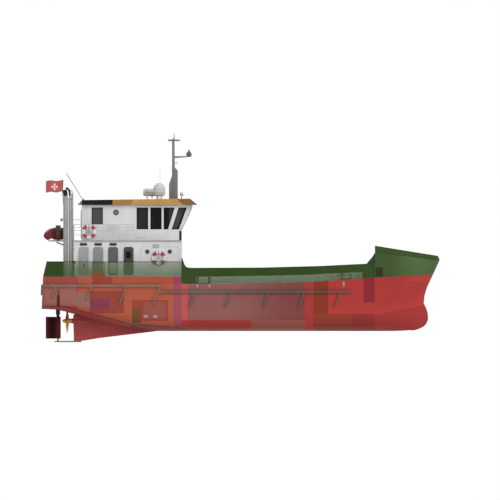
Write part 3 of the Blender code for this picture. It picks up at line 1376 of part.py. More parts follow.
def build_mast():
    bm = bmesh.new()
    add_prism(bm, MAST_OUTLINE, "y", -MAST_HALF, MAST_HALF)
    stand_on_roof(bm)
    for vert in bm.verts:
        if vert.co.z > MAST_TAPER_H:
            vert.co.y *= MAST_TAPER
    mast = put("mast", bm, "mast_grey")
    cross = bmesh.new()
    add_box(cross, MAST_CROSS_X, (-MAST_CROSS_HALF, MAST_CROSS_HALF), MAST_HEAD_H)
    yard = bmesh.new()
    add_box(yard, MAST_YARD_X, (-MAST_YARD_HALF, MAST_YARD_HALF), MAST_HEAD_H)
    pole = bmesh.new()
    add_turned(pole, (0, 0, 1), (MAST_POLE_X, 0, 0), MAST_POLE, 8)
    arm = bmesh.new()
    rings = []
    for x, half, low, high in MAST_ARM:
        rings.append([(x, -half, low), (x, half, low), (x, half, high), (x, -half, high)])
    add_loft(arm, rings)
    fuse(mast, tool("mast_cross", cross), tool("mast_yard", yard))
    fuse(mast, tool("mast_pole", pole), tool("mast_arm", arm))
    lamp = bmesh.new()
    add_turned(lamp, (0, 0, 1), (LAMP_X, 0, MAST_ARM[1][3]), LAMP_RINGS, 14)
    put("masthead_lamp", lamp, "plastic_white")


def build_dome():
    bm = bmesh.new()
    x, y = DOME_XY
    add_turned(bm, (0, 0, 1), (x, y, 0), [(h, r) for r, h in DOME_RINGS], 20)
    dome = put("satellite_dome", bm, "plastic_white", smooth=40.0)
    for index in range(3):
        turn = 2 * math.pi * index / 3
        foot = bmesh.new()
        centre = (x + DOME_FEET_R * math.cos(turn), y + DOME_FEET_R * math.sin(turn), 0)
        add_turned(foot, (0, 0, 1), centre, DOME_FOOT, 8)
        stand_on_roof(foot)
        fuse(dome, tool("dome_foot_%d" % index, foot))


def build_raft():
    bm = bmesh.new()
    add_turned(bm, (1, 0, 0), (0, RAFT_Y, RAFT_H), RAFT_RINGS, 16)
    raft = put("life_raft", bm, "plastic_white", smooth=40.0)
    chock_y = (RAFT_Y - RAFT_CHOCK_HALF, RAFT_Y + RAFT_CHOCK_HALF)
    for index, chock_x in enumerate(RAFT_CHOCKS_X):
        chock = bmesh.new()
        add_box(chock, chock_x, chock_y, (ROOF_SEAT_H, RAFT_CHOCK_TOP_H))
        stand_on_roof(chock)
        fuse(raft, tool("raft_chock_%d" % index, chock))


def build_antennas():
    rod = bmesh.new()
    add_pipe(rod, [(x, WHIP_Y, h) for x, h in WHIP_ROD], WHIP_ROD_R, 8)
    base = bmesh.new()
    add_turned(base, (0, 0, 1), (WHIP_ROD[0][0], WHIP_Y, 0), WHIP_BASE, 10)
    stand_on_roof(base)
    fuse(put("whip_antenna_aft", base, "mast_grey"), tool("whip_rod", rod))
    compass = bmesh.new()
    add_turned(compass, (0, 0, 1), (*COMPASS_XY, 0), COMPASS_RINGS, 10)
    stand_on_roof(compass)
    put("compass_dome", compass, "plastic_white")


# Lifebuoys
def build_lifebuoy(side, name, x, face, h):
    """Flattened ring seated on a wall or rail, closed on itself."""
    centre_line = LIFEBUOY_R - LIFEBUOY_TUBE
    bends = [2 * math.pi * (k + 0.5) / LIFEBUOY_SIDES for k in range(LIFEBUOY_SIDES)]
    flat = LIFEBUOY_FLAT * LIFEBUOY_TUBE
    centre = Vector((x, side * (face + flat * max(math.sin(bend) for bend in bends) + FIT_GAP), h))
    bm = bmesh.new()
    loops = []
    for i in range(LIFEBUOY_TURNS):
        turn = 2 * math.pi * i / LIFEBUOY_TURNS
        radial = Vector((math.cos(turn), 0.0, math.sin(turn)))
        loop = []
        for bend in bends:
            out = centre_line + LIFEBUOY_TUBE * math.cos(bend)
            point = centre + radial * out + Vector((0.0, flat * math.sin(bend), 0.0))
            loop.append(bm.verts.new(point))
        loops.append(loop)
    quads = []
    for i, near in enumerate(loops):
        far = loops[(i + 1) % LIFEBUOY_TURNS]
        for k in range(LIFEBUOY_SIDES):
            after = (k + 1) % LIFEBUOY_SIDES
            quads.append((near[k], near[after], far[after], far[k]))
    add_faces(bm, quads)
    put("lifebuoy_%s_%s" % (name, SIDE_NAMES[side]), bm, "safety_orange", smooth=60.0)


def build_all():
    build_hull()
    build_skeg()
    build_engine()
    build_rudder()
    build_propeller()
    build_fenders()
    build_stern_fender()
    for side in (STARBOARD, PORT):
        build_bulwark(side)
        build_vent(side)
        build_side_glass(side)
        build_aft_glass(side)
        for row in SIDE_DOORS:
            build_side_door(side, *row)
        for row in BITTS:
            build_bitts(side, *row)
        for row in LIFEBUOYS:
            build_lifebuoy(side, *row)
    build_stern_bulwark()
    build_forecastle()
    build_deckhouse()
    build_boat_deck()
    build_wheelhouse()
    build_front_glass()
    build_aft_door()
    build_roof()
    build_guard_rail()
    build_winch(STARBOARD)
    build_trunk()
    for row in HATCHES:
        build_lid(*row)
    build_locker()
    build_stack()
    build_flag()
    build_cradle()
    build_rescue_boat()
    build_outboard()
    build_mast()
    build_dome()
    build_raft()
    build_antennas()


clear_scene()
make_datum()
MATERIALS = {name: make_material(name) for name in PAINTS}
build_all()
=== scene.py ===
import json
import math

import bmesh
import bpy
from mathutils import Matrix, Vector
from mathutils.bvhtree import BVHTree


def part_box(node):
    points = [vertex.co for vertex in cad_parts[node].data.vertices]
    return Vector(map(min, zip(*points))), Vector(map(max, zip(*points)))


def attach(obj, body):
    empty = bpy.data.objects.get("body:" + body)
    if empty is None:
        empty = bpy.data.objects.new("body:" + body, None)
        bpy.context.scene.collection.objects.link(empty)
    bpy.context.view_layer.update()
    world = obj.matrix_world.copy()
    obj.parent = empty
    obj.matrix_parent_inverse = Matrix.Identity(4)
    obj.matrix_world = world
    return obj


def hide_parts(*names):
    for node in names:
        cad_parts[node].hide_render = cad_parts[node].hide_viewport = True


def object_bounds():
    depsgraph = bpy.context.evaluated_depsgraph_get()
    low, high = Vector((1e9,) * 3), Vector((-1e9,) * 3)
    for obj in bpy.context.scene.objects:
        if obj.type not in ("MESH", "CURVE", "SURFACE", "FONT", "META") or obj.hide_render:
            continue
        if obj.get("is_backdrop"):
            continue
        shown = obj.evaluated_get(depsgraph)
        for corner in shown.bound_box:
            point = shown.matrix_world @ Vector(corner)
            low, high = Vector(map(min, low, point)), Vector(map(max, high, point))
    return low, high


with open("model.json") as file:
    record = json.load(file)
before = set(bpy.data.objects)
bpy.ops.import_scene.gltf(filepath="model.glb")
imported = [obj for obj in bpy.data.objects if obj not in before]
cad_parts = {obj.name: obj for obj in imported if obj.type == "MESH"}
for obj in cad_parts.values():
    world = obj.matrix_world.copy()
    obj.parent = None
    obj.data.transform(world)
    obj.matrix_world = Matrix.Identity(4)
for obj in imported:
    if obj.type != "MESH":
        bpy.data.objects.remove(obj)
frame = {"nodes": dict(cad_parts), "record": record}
solids = frame["nodes"]
cad_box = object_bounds()

# %% [markdown]
# The portrait is a drawing office's side view, so the camera is orthographic and level. Its width is
# worked out from the scale of that drawing. Blender could also find a perspective camera far away,
# but then the near rail would hide the far one, which it must not do in a side view.
# %% Camera
PICTURE = 500
PIXELS_PER_METRE = 15.46
VIEW_CENTRE = (0.420, 3.289)

camera_data = bpy.data.cameras.new("side_view")
camera_data.type = "ORTHO"
camera_data.ortho_scale = PICTURE / PIXELS_PER_METRE
camera_data.clip_end = 300.0
camera = bpy.data.objects.new("side_view", camera_data)
camera.location = (VIEW_CENTRE[0], -60.0, VIEW_CENTRE[1])
camera.rotation_euler = (math.radians(90), 0.0, 0.0)
bpy.context.scene.collection.objects.link(camera)
bpy.context.scene.camera = camera
print("metres across the picture:", round(camera_data.ortho_scale, 2))

# %% [markdown]
# A white sky lights the boat evenly from all round, a little less from below, and soft suns give its
# sides some form. The sheet shows hardly any shadow, so the main sun stands low on the beam and is
# wide. A single hard lamp would draw a dark band under the roof, which the sheet hasn't got.
# %% Light
SKY_OVERHEAD = 0.78
SKY_UNDERFOOT = 0.62
# Suns, columns: name, direction towards the light, strength, softness in degrees
SUNS = (
    ("key", (0.30, -1.00, 0.42), 1.10, 40.0),
    ("back", (-0.40, 1.00, 0.45), 0.90, 40.0),
    ("bow", (1.00, -0.10, 0.30), 0.60, 40.0),
)


def make_sky():
    world = bpy.data.worlds.new("white_studio")
    bpy.context.scene.world = world
    world.use_nodes = True
    tree = world.node_tree
    tree.nodes.clear()
    output = tree.nodes.new("ShaderNodeOutputWorld")
    blend = tree.nodes.new("ShaderNodeMixShader")
    shade = tree.nodes.new("ShaderNodeBackground")
    paper = tree.nodes.new("ShaderNodeBackground")
    seen = tree.nodes.new("ShaderNodeLightPath")
    where = tree.nodes.new("ShaderNodeTexCoord")
    height = tree.nodes.new("ShaderNodeSeparateXYZ")
    strength = tree.nodes.new("ShaderNodeMapRange")
    for socket, value in (("From Min", -1.0), ("To Min", SKY_UNDERFOOT), ("To Max", SKY_OVERHEAD)):
        strength.inputs[socket].default_value = value
    tree.links.new(where.outputs["Generated"], height.inputs[0])
    tree.links.new(height.outputs["Z"], strength.inputs["Value"])
    tree.links.new(strength.outputs[0], shade.inputs["Strength"])
    shade.inputs["Color"].default_value = (1.0, 1.0, 1.0, 1.0)
    paper.inputs["Color"].default_value = (1.0, 1.0, 1.0, 1.0)
    tree.links.new(seen.outputs["Is Camera Ray"], blend.inputs["Fac"])
    tree.links.new(shade.outputs[0], blend.inputs[1])
    tree.links.new(paper.outputs[0], blend.inputs[2])
    tree.links.new(blend.outputs[0], output.inputs["Surface"])


def make_sun(name, towards, strength, softness):
    data = bpy.data.lights.new(name, "SUN")
    data.energy = strength
    data.angle = math.radians(softness)
    lamp = bpy.data.objects.new(name, data)
    lamp.rotation_euler = Vector(towards).to_track_quat("Z", "Y").to_euler()
    bpy.context.scene.collection.objects.link(lamp)


make_sky()
for row in SUNS:
    make_sun(*row)
bpy.context.scene.view_settings.view_transform = "Standard"
bpy.context.scene.view_settings.look = "None"
print("suns:", len(SUNS))

# %% [markdown]
# Every finish is built from the same few moves: clouds of tone, a rectangle seen from the side, a
# bump. The class below keeps them short. All patterns are laid out in the boat's own metres, so a
# weld seam or a brush mark has its true size on any piece.
# %% Building finishes
FINE_SCALE = 38.0


class Finish:
    """A material under construction, with short ways to add and join its nodes."""

    def __init__(self, name, colour, roughness, metallic=0.0, alpha=1.0, gloss=0.09):
        self.material = bpy.data.materials.new(name)
        self.material.use_nodes = True
        self.tree = self.material.node_tree
        self.shader = self.tree.nodes["Principled BSDF"]
        self.shader.inputs["Base Color"].default_value = (*colour, 1.0)
        self.shader.inputs["Roughness"].default_value = roughness
        self.shader.inputs["Metallic"].default_value = metallic
        self.shader.inputs["Alpha"].default_value = alpha
        self.shader.inputs["Specular IOR Level"].default_value = gloss
        self.place = self.add("ShaderNodeTexCoord").outputs["Object"]
        self.roughness = roughness
        self.split = None

    def add(self, kind, **settings):
        node = self.tree.nodes.new(kind)
        for key, value in settings.items():
            setattr(node, key, value)
        return node

    def feed(self, socket, value):
        """Give a socket another node's output, or a plain number or colour."""
        if isinstance(value, bpy.types.NodeSocket):
            self.tree.links.new(value, socket)
        elif isinstance(value, tuple):
            socket.default_value = (*value, 1.0)
        else:
            socket.default_value = value

    def math(self, operation, *values):
        node = self.add("ShaderNodeMath", operation=operation)
        for socket, value in zip(node.inputs, values):
            self.feed(socket, value)
        return node.outputs[0]

    def axis(self, letter):
        if self.split is None:
            node = self.add("ShaderNodeSeparateXYZ")
            self.feed(node.inputs[0], self.place)
            self.split = node.outputs
        return self.split[letter]

    def noise(self, scale, detail=3.0, stretch=(1.0, 1.0, 1.0)):
        """Clouds from 0 to 1; a stretch below 1 draws them out along that axis."""
        lay = self.add("ShaderNodeMapping")
        lay.inputs["Scale"].default_value = stretch
        self.feed(lay.inputs["Vector"], self.place)
        node = self.add("ShaderNodeTexNoise")
        self.feed(node.inputs["Vector"], lay.outputs[0])
        node.inputs["Scale"].default_value = scale
        node.inputs["Detail"].default_value = detail
        return node.outputs["Fac"]

    def ramp(self, value, low, high, start=0.0, end=1.0):
        node = self.add("ShaderNodeMapRange", interpolation_type="SMOOTHSTEP")
        for socket, given in zip(node.inputs, (value, low, high, start, end)):
            self.feed(socket, given)
        return node.outputs[0]

    def mix(self, share, first, second):
        node = self.add("ShaderNodeMix", data_type="RGBA")
        self.feed(node.inputs[0], share)
        self.feed(node.inputs[6], first)
        self.feed(node.inputs[7], second)
        return node.outputs[2]

    def inside(self, x, z):
        """1 inside an upright rectangle of the side view, and 0 outside it."""
        along = self.math("COMPARE", self.axis("X"), (x[0] + x[1]) / 2, (x[1] - x[0]) / 2)
        up = self.math("COMPARE", self.axis("Z"), (z[0] + z[1]) / 2, (z[1] - z[0]) / 2)
        return self.math("MULTIPLY", along, up)

    def clouded(self, colour, depth, scale=0.9):
        """A colour that drifts a little lighter and darker."""
        light = self.scaled(colour, 1 + depth)
        dark = self.scaled(colour, 1 - depth)
        return self.mix(self.ramp(self.noise(scale, 5.0), 0.3, 0.7), dark, light)

    def scaled(self, colour, factor):
        if isinstance(colour, tuple):
            return tuple(min(1.0, channel * factor) for channel in colour)
        node = self.add("ShaderNodeVectorMath", operation="SCALE")
        self.feed(node.inputs[0], colour)
        node.inputs["Scale"].default_value = factor
        return node.outputs[0]

    def paint(self, colour):
        self.feed(self.shader.inputs["Base Color"], colour)

    def dull(self, depth=0.08, scale=2.5):
        """Roughness that changes in patches, as on handled or weathered paint."""
        value = self.ramp(self.noise(scale, 4.0), 0.3, 0.7, self.roughness - depth, self.roughness + depth)
        self.feed(self.shader.inputs["Roughness"], value)

    def bump(self, height, depth, strength=1.0):
        """Relief with its depth in metres; several are joined one after the other."""
        node = self.add("ShaderNodeBump")
        node.inputs["Distance"].default_value = depth
        node.inputs["Strength"].default_value = strength
        self.feed(node.inputs["Height"], height)
        before = self.shader.inputs["Normal"].links
        if before:
            self.feed(node.inputs["Normal"], before[0].from_socket)
        self.feed(self.shader.inputs["Normal"], node.outputs[0])

    def seams(self, long, high, width=0.012):
        """Weld seams of plating as wide as given, seen from the side: 1 on a seam."""
        swap = self.add("ShaderNodeCombineXYZ")
        self.feed(swap.inputs[0], self.axis("X"))
        self.feed(swap.inputs[1], self.axis("Z"))
        node = self.add("ShaderNodeTexBrick", offset=0.37)
        self.feed(node.inputs["Vector"], swap.outputs[0])
        node.inputs["Scale"].default_value = 1.0
        node.inputs["Brick Width"].default_value = long
        node.inputs["Row Height"].default_value = high
        node.inputs["Mortar Size"].default_value = width
        node.inputs["Mortar Smooth"].default_value = 0.4
        return node.outputs["Fac"]


def painted_steel(name, colour, roughness=0.45, alpha=1.0, cloud=0.06, plate=(1.6, 1.2), gloss=0.09):
    """Brushed and rolled paint on welded plate."""
    finish = Finish(name, colour, roughness, alpha=alpha, gloss=gloss)
    seam = finish.seams(*plate)
    tone = finish.clouded(colour, cloud)
    streaks = finish.ramp(finish.noise(1.7, 6.0, (1.0, 1.0, 0.12)), 0.52, 0.75)
    tone = finish.mix(finish.math("MULTIPLY", streaks, 0.10), tone, finish.scaled(colour, 0.55))
    finish.paint(finish.mix(finish.math("MULTIPLY", seam, 0.15), tone, finish.scaled(colour, 0.7)))
    finish.dull()
    finish.bump(seam, 0.003, 0.5)
    finish.bump(finish.noise(FINE_SCALE, 2.0), 0.0015, 0.35)
    return finish.material


def plain_finish(name, colour, roughness=0.5, metallic=0.0, cloud=0.08, grain=0.001, scale=FINE_SCALE):
    """Moulded, cast or enamelled parts: a clouded tone with a fine grain."""
    finish = Finish(name, colour, roughness, metallic)
    finish.paint(finish.clouded(colour, cloud, 3.0))
    finish.dull(0.06, 6.0)
    finish.bump(finish.noise(scale, 3.0), grain, 0.4)
    return finish.material


print("finish helpers ready")

# %% [markdown]
# The drawing shows the hull's tanks through its side as fields of colour, which is how a yard marks
# them on the paint as well. So the hull's red is painted over with upright rectangles, one for each
# tank or room. A picture could do this too, but named rectangles stay sharp at any distance and can
# be moved by a person who reads their names.
# %% Hull paint
HULL_RED = (0.420, 0.047, 0.043)
DEEP_RED = (0.345, 0.046, 0.042)
ORANGE = (0.420, 0.102, 0.058)
RUSSET = (0.292, 0.060, 0.043)
GREY_PINK = (0.325, 0.124, 0.104)
MAUVE = (0.268, 0.106, 0.100)
MAUVE_IN_PAINTED_SHADE = (0.208, 0.060, 0.056)
PLUM = (0.226, 0.046, 0.078)
ROSE = (0.460, 0.094, 0.092)
BROWN = (0.240, 0.039, 0.023)
OLIVE = (0.182, 0.074, 0.032)
UMBER = (0.290, 0.086, 0.066)
MAROON = (0.275, 0.036, 0.031)
CLARET = (0.268, 0.028, 0.038)
# Fields on the side, columns: name, from x, to x, from z, to z, colour
TANK_FIELDS = (
    ("waterway_aft", -13.2, -10.70, 1.09, 1.60, (0.360, 0.069, 0.063)),
    ("wing_tank_aft", -10.70, -4.43, -1.95, 1.60, ORANGE),
    ("aft_peak", -13.2, -10.77, -0.33, 1.06, GREY_PINK),
    ("waterway_store", -9.79, -8.47, 1.09, 1.60, (0.335, 0.056, 0.041)),
    ("waterway_mid", -8.47, -4.46, 1.09, 1.60, (0.385, 0.084, 0.044)),
    ("fresh_water", -10.77, -9.93, -0.40, 0.51, (0.305, 0.138, 0.112)),
    ("feed_store", -9.93, -7.73, -0.79, 0.64, RUSSET),
    ("bilge_tank", -9.93, -8.67, -0.53, 0.12, PLUM),
    ("engine_room", -7.21, -4.88, -1.30, 0.05, (0.315, 0.062, 0.045)),
    ("engine", -6.44, -5.08, -1.17, -0.07, (0.300, 0.086, 0.070)),
    ("oil_tank", -7.21, -6.63, -1.43, -0.46, OLIVE),
    ("day_tank", -4.53, -4.01, -1.56, 1.09, (0.350, 0.074, 0.100)),
    ("day_tank_top", -4.53, -4.01, 1.09, 1.60, (0.310, 0.051, 0.098)),
    ("cofferdam_aft", -4.01, -3.59, -1.24, 1.60, ROSE),
    ("hold", -3.55, 3.97, -1.24, 1.75, MAUVE),
    ("cofferdam", 3.97, 4.53, -1.30, 1.75, (0.365, 0.044, 0.042)),
    ("ballast_bow", 4.53, 5.47, -1.95, 1.75, BROWN),
    # The bottom rows are tank colours darkened with painted shade of the bilge
    ("bottom_aft", -3.59, 0.49, -1.95, -1.24, DEEP_RED),
    ("bottom_middle", 0.49, 3.97, -1.95, -1.24, UMBER),
    ("bottom_forward", 4.50, 7.02, -1.95, -0.85, (0.275, 0.046, 0.027)),
    ("chain_bottom", 7.02, 8.48, -1.95, -0.85, MAROON),
    ("chain_locker", 7.76, 8.48, -0.11, 1.75, CLARET),
    ("rudder_stock_head", -12.02, -11.92, 0.35, 0.72, (0.130, 0.034, 0.032)),
    ("rudder_stock", -12.08, -11.88, -0.38, 0.35, (0.105, 0.022, 0.022)),
)
# The hold's field darkens forward between these, as painted shade. The bow's foot carries painted shade
# below a rising line, and the bilge aft carries painted shade below one that falls to a level.
HOLD_PAINTED_SHADE_X = (-1.5, 3.5)
BOW_LINE = ((8.51, -0.90), (11.65, -0.28))
BOW_PAINTED_SHADE = (0.330, 0.040, 0.038)
BILGE_AFT = ((-11.04, -0.52), (-7.30, -1.50))
BILGE_FORWARD = ((-7.30, -1.50), (-3.54, -1.78))
BILGE_AFT_LEVEL = -0.36
# Painted shade of the bilge: aft, along its edge, and forward
BILGE_PAINTED_SHADE = (0.350, 0.062, 0.060)
BILGE_EDGE_PAINTED_SHADE = (0.150, 0.028, 0.026)
BILGE_MAROON_PAINTED_SHADE = (0.235, 0.048, 0.046)
BILGE_END_X = -3.54


def slanting_line(finish, ends):
    """Height of a straight line, seen from the side, at every x."""
    (x0, z0), (x1, z1) = ends
    slope = (z1 - z0) / (x1 - x0)
    return finish.math("MULTIPLY_ADD", finish.axis("X"), slope, z0 - slope * x0)


def bow_painted_shade(finish, tone):
    """Painted shade on the bow's foot, below a line that rises forward, and redder again at its bottom."""
    line = slanting_line(finish, BOW_LINE)
    below = finish.ramp(finish.math("SUBTRACT", line, finish.axis("Z")), 0.0, 0.03)
    foot = finish.ramp(finish.axis("Z"), -1.70, -1.25, 0.35, 1.0)
    forward = finish.math("GREATER_THAN", finish.axis("X"), BOW_LINE[0][0])
    share = finish.math("MULTIPLY", finish.math("MULTIPLY", below, foot), forward)
    return finish.mix(share, tone, BOW_PAINTED_SHADE)


def bilge_painted_shade(finish, tone):
    """Painted shade under the bilge, below the engine room and aft of it, with a darker line of painted shade along its
    upper edge.
    """
    line = finish.math("MAXIMUM", slanting_line(finish, BILGE_AFT), slanting_line(finish, BILGE_FORWARD))
    line = finish.math("MINIMUM", line, BILGE_AFT_LEVEL)
    under = finish.math("SUBTRACT", line, finish.axis("Z"))
    aft = finish.math("LESS_THAN", finish.axis("X"), BILGE_END_X)
    forward = finish.math("GREATER_THAN", finish.axis("X"), BILGE_AFT[1][0])
    shade = finish.mix(forward, BILGE_PAINTED_SHADE, BILGE_MAROON_PAINTED_SHADE)
    tone = finish.mix(finish.math("MULTIPLY", finish.ramp(under, 0.0, 0.03), aft), tone, shade)
    edge = finish.math("COMPARE", under, 0.0, 0.03)
    return finish.mix(finish.math("MULTIPLY", edge, aft), tone, BILGE_EDGE_PAINTED_SHADE)


def fields_and_painted_shade(finish):
    """The hull's red with every field on it, and the painted shade of the hold, the bow's foot and the bilge."""
    tone = bow_painted_shade(finish, finish.clouded(HULL_RED, 0.03))
    # Painted shade on the hold's field, darker forward
    shade = finish.ramp(finish.axis("X"), *HOLD_PAINTED_SHADE_X)
    hold = finish.mix(shade, MAUVE, MAUVE_IN_PAINTED_SHADE)
    for name, aft, forward, low, high, colour in TANK_FIELDS:
        colour = hold if name == "hold" else colour
        tone = finish.mix(finish.inside((aft, forward), (low, high)), tone, colour)
    return bilge_painted_shade(finish, tone)


def hull_paint():
    finish = Finish("hull_red_paint", HULL_RED, 0.62, gloss=0.03)
    tone = fields_and_painted_shade(finish)
    seam = finish.seams(6.0, 1.45, 0.014)
    drift = finish.ramp(finish.noise(0.8, 6.0, (0.5, 1.0, 1.5)), 0.35, 0.75)
    tone = finish.mix(finish.math("MULTIPLY", drift, 0.08), tone, finish.scaled(tone, 0.6))
    finish.paint(finish.mix(finish.math("MULTIPLY", seam, 0.12), tone, finish.scaled(tone, 0.7)))
    finish.dull(0.06, 1.2)
    finish.bump(seam, 0.004, 0.5)
    finish.bump(finish.noise(FINE_SCALE, 2.0), 0.0015, 0.3)
    return finish.material


def rudder_paint():
    """Nearly black red, darkest along the rudder's thick middle."""
    finish = Finish("rudder_paint", (0.060, 0.012, 0.013), 0.6, gloss=0.04)
    middle = finish.math("ABSOLUTE", finish.math("SUBTRACT", finish.axis("X"), RUDDER_THICK_X))
    edge = finish.ramp(middle, 0.08, 0.42)
    finish.paint(finish.mix(edge, (0.024, 0.005, 0.005), finish.clouded((0.088, 0.016, 0.018), 0.10, 3.0)))
    finish.dull()
    finish.bump(finish.noise(FINE_SCALE, 2.0), 0.0015, 0.35)
    return finish.material


RUDDER_THICK_X = -12.37
paints = {
    "hull": hull_paint(),
    "bottom": painted_steel("bottom_paint", (0.400, 0.078, 0.078), 0.6, plate=(2.4, 0.8), gloss=0.03),
    "rudder": rudder_paint(),
}
print("fields on the hull:", len(TANK_FIELDS))

# %% [markdown]
# The rest of the palette. The sheet draws the near bulwark see-through where a house or the cargo
# trunk stands behind it, so that stretch of the starboard plate gets a paint with some alpha, set on
# the shader. What stands behind it is modelled, doors and all. Galvanised steel, rubber, glass and
# moulded plastic each get a grain of their own.
# %% Palette
GREEN = (0.035, 0.065, 0.018)
SEE_THROUGH = 0.33
THIN_GREEN = (0.105, 0.170, 0.062)
# The whaleback's side is painted darker aft and lighter towards the stem: painted shade and painted light.
WHALEBACK_AFT_PAINTED_SHADE = (0.050, 0.086, 0.030)
WHALEBACK_STEM_PAINTED_LIGHT = (0.074, 0.126, 0.046)
WHALEBACK_LIGHT_AND_SHADE_X = (9.2, 11.0)

# Enamel and paint on steel, columns: key, name, colour, roughness, plate's length and height
STEEL_PAINTS = (
    ("leg", "outboard_leg_red", (0.105, 0.026, 0.026), 0.5, (3.0, 3.0)),
    ("cowl", "outboard_grey", (0.066, 0.066, 0.056), 0.45, (3.0, 3.0)),
    ("green", "deck_gear_green", GREEN, 0.45, (2.0, 1.0)),
    ("dark_green", "dark_green_trim", (0.020, 0.034, 0.012), 0.5, (2.0, 1.0)),
    ("trunk", "trunk_green", (0.48, 0.53, 0.49), 0.6, (1.5, 1.0)),
    ("kick", "kick_plate_grey", (0.34, 0.40, 0.33), 0.6, (3.0, 3.0)),
    ("board", "locker_board_brown", (0.27, 0.20, 0.13), 0.7, (3.0, 3.0)),
    ("rail", "guard_rail_grey", (0.50, 0.50, 0.51), 0.55, (3.0, 3.0)),
    ("white", "white_enamel", (0.665, 0.66, 0.665), 0.45, (1.5, 2.4)),
    ("box_white", "box_enamel", (0.63, 0.63, 0.63), 0.45, (3.0, 3.0)),
    ("panel_line", "panel_edge_enamel", (0.48, 0.47, 0.49), 0.5, (3.0, 3.0)),
    ("plate", "blank_plate_grey", (0.36, 0.43, 0.41), 0.5, (3.0, 3.0)),
    ("pad", "pad_pink", (0.36, 0.27, 0.26), 0.6, (3.0, 3.0)),
    ("fork", "fork_teal", (0.15, 0.25, 0.24), 0.5, (3.0, 3.0)),
    ("port_rim", "port_rim_grey", (0.10, 0.12, 0.12), 0.5, (3.0, 3.0)),
    ("louvre", "louvre_grey", (0.055, 0.055, 0.055), 0.5, (3.0, 3.0)),
    ("cream", "inner_lining", (0.50, 0.50, 0.47), 0.5, (1.2, 2.0)),
    ("door_aft", "aft_door_enamel", (0.36, 0.35, 0.36), 0.45, (3.0, 3.0)),
    ("door_mid_aft", "mess_door_enamel", (0.27, 0.27, 0.27), 0.45, (3.0, 3.0)),
    ("door_mid_forward", "store_door_enamel", (0.12, 0.12, 0.12), 0.5, (3.0, 3.0)),
    ("door_forward", "entrance_door_enamel", (0.07, 0.07, 0.07), 0.5, (3.0, 3.0)),
    ("mast", "mast_grey", (0.20, 0.20, 0.207), 0.6, (3.0, 3.0)),
    ("gear", "deck_gear_black", (0.045, 0.050, 0.052), 0.5, (3.0, 3.0)),
    ("engine", "engine_green", (0.10, 0.14, 0.12), 0.45, (3.0, 3.0)),
)
for key, name, colour, roughness, plate in STEEL_PAINTS:
    paints[key] = painted_steel(name, colour, roughness, plate=plate)
# The whaleback's top is painted darker than its side: painted shade that evens out its lit top.
paints["whaleback_top"] = painted_steel("whaleback_top_green", (0.046, 0.080, 0.028), 0.8, plate=(1.8, 1.1), gloss=0.0)
paints["bulwark"] = painted_steel("bulwark_green", GREEN, 0.55, plate=(3.0, 2.0), gloss=0.02)
paints["thin_bulwark"] = painted_steel("bulwark_green_thin", THIN_GREEN, 0.6, SEE_THROUGH, plate=(3.0, 2.0), gloss=0.03)



def whaleback_painted_light_green():
    """Green with painted light towards the stem, where the plates turn to the light, and painted shade aft."""
    finish = Finish("whaleback_painted_light_green", WHALEBACK_STEM_PAINTED_LIGHT, 0.6, gloss=0.03)
    shade = finish.ramp(finish.axis("X"), *WHALEBACK_LIGHT_AND_SHADE_X)
    finish.paint(finish.mix(shade, finish.clouded(WHALEBACK_AFT_PAINTED_SHADE, 0.05), finish.clouded(WHALEBACK_STEM_PAINTED_LIGHT, 0.05)))
    finish.dull()
    finish.bump(finish.seams(1.8, 1.1), 0.002, 0.4)
    return finish.material


paints["forecastle"] = whaleback_painted_light_green()

# Moulded, cast and coated parts, columns: key, name, colour, roughness, metallic, clouds, grain
PLAIN_PARTS = (
    ("steel", "galvanised_steel", (0.42, 0.42, 0.42), 0.42, 0.7, 0.18, 0.0006),
    ("soot", "sooted_steel", (0.022, 0.022, 0.022), 0.7, 0.2, 0.20, 0.0015),
    ("bronze", "propeller_bronze", (0.62, 0.33, 0.085), 0.42, 0.55, 0.12, 0.0006),
    ("zinc", "zinc_anode", (0.40, 0.24, 0.23), 0.75, 0.1, 0.12, 0.0020),
    ("gasket", "window_gasket", (0.012, 0.012, 0.012), 0.6, 0.0, 0.10, 0.0005),
    ("plastic", "white_moulding", (0.55, 0.57, 0.60), 0.45, 0.0, 0.05, 0.0004),
    ("black", "black_moulding", (0.020, 0.020, 0.021), 0.5, 0.0, 0.10, 0.0008),
    ("red_box", "locker_red", (0.62, 0.030, 0.055), 0.5, 0.0, 0.06, 0.0008),
    ("orange_bottle", "extinguisher_orange", (0.55, 0.16, 0.05), 0.35, 0.0, 0.04, 0.0002),
    ("buoy", "lifebuoy_white", (0.62, 0.60, 0.58), 0.6, 0.0, 0.04, 0.0010),
    ("buoy_red", "lifebuoy_red", (0.52, 0.065, 0.045), 0.6, 0.0, 0.05, 0.0010),
    ("grab_line", "grab_line_orange", (0.34, 0.14, 0.09), 0.8, 0.0, 0.20, 0.0015),
    ("rope", "tarred_rope", (0.18, 0.15, 0.10), 0.9, 0.0, 0.20, 0.0020),
    ("dark_glass", "dark_pane", (0.006, 0.006, 0.006), 0.12, 0.0, 0.20, 0.0002),
    ("port_glass", "port_pane", (0.060, 0.080, 0.075), 0.15, 0.0, 0.15, 0.0002),
    ("lens", "lamp_lens", (0.55, 0.56, 0.58), 0.12, 0.0, 0.05, 0.0002),
    ("dome_seam", "dome_seam_grey", (0.30, 0.30, 0.29), 0.6, 0.0, 0.05, 0.0004),
    ("lamp_body", "lamp_grey", (0.12, 0.12, 0.125), 0.5, 0.0, 0.08, 0.0006),
)
for key, name, colour, roughness, metallic, cloud, grain in PLAIN_PARTS:
    paints[key] = plain_finish(name, colour, roughness, metallic, cloud, grain)
print("paints:", len(paints))

# %% [markdown]
# Four surfaces need more than a tone: non-slip deck paint, coated fabric on the rescue boat, window
# glass, and the wheelhouse roof, whose ochre cover is drawn in patches of brown, some of them painted shade.
# %% Deck, fabric, glass and roof


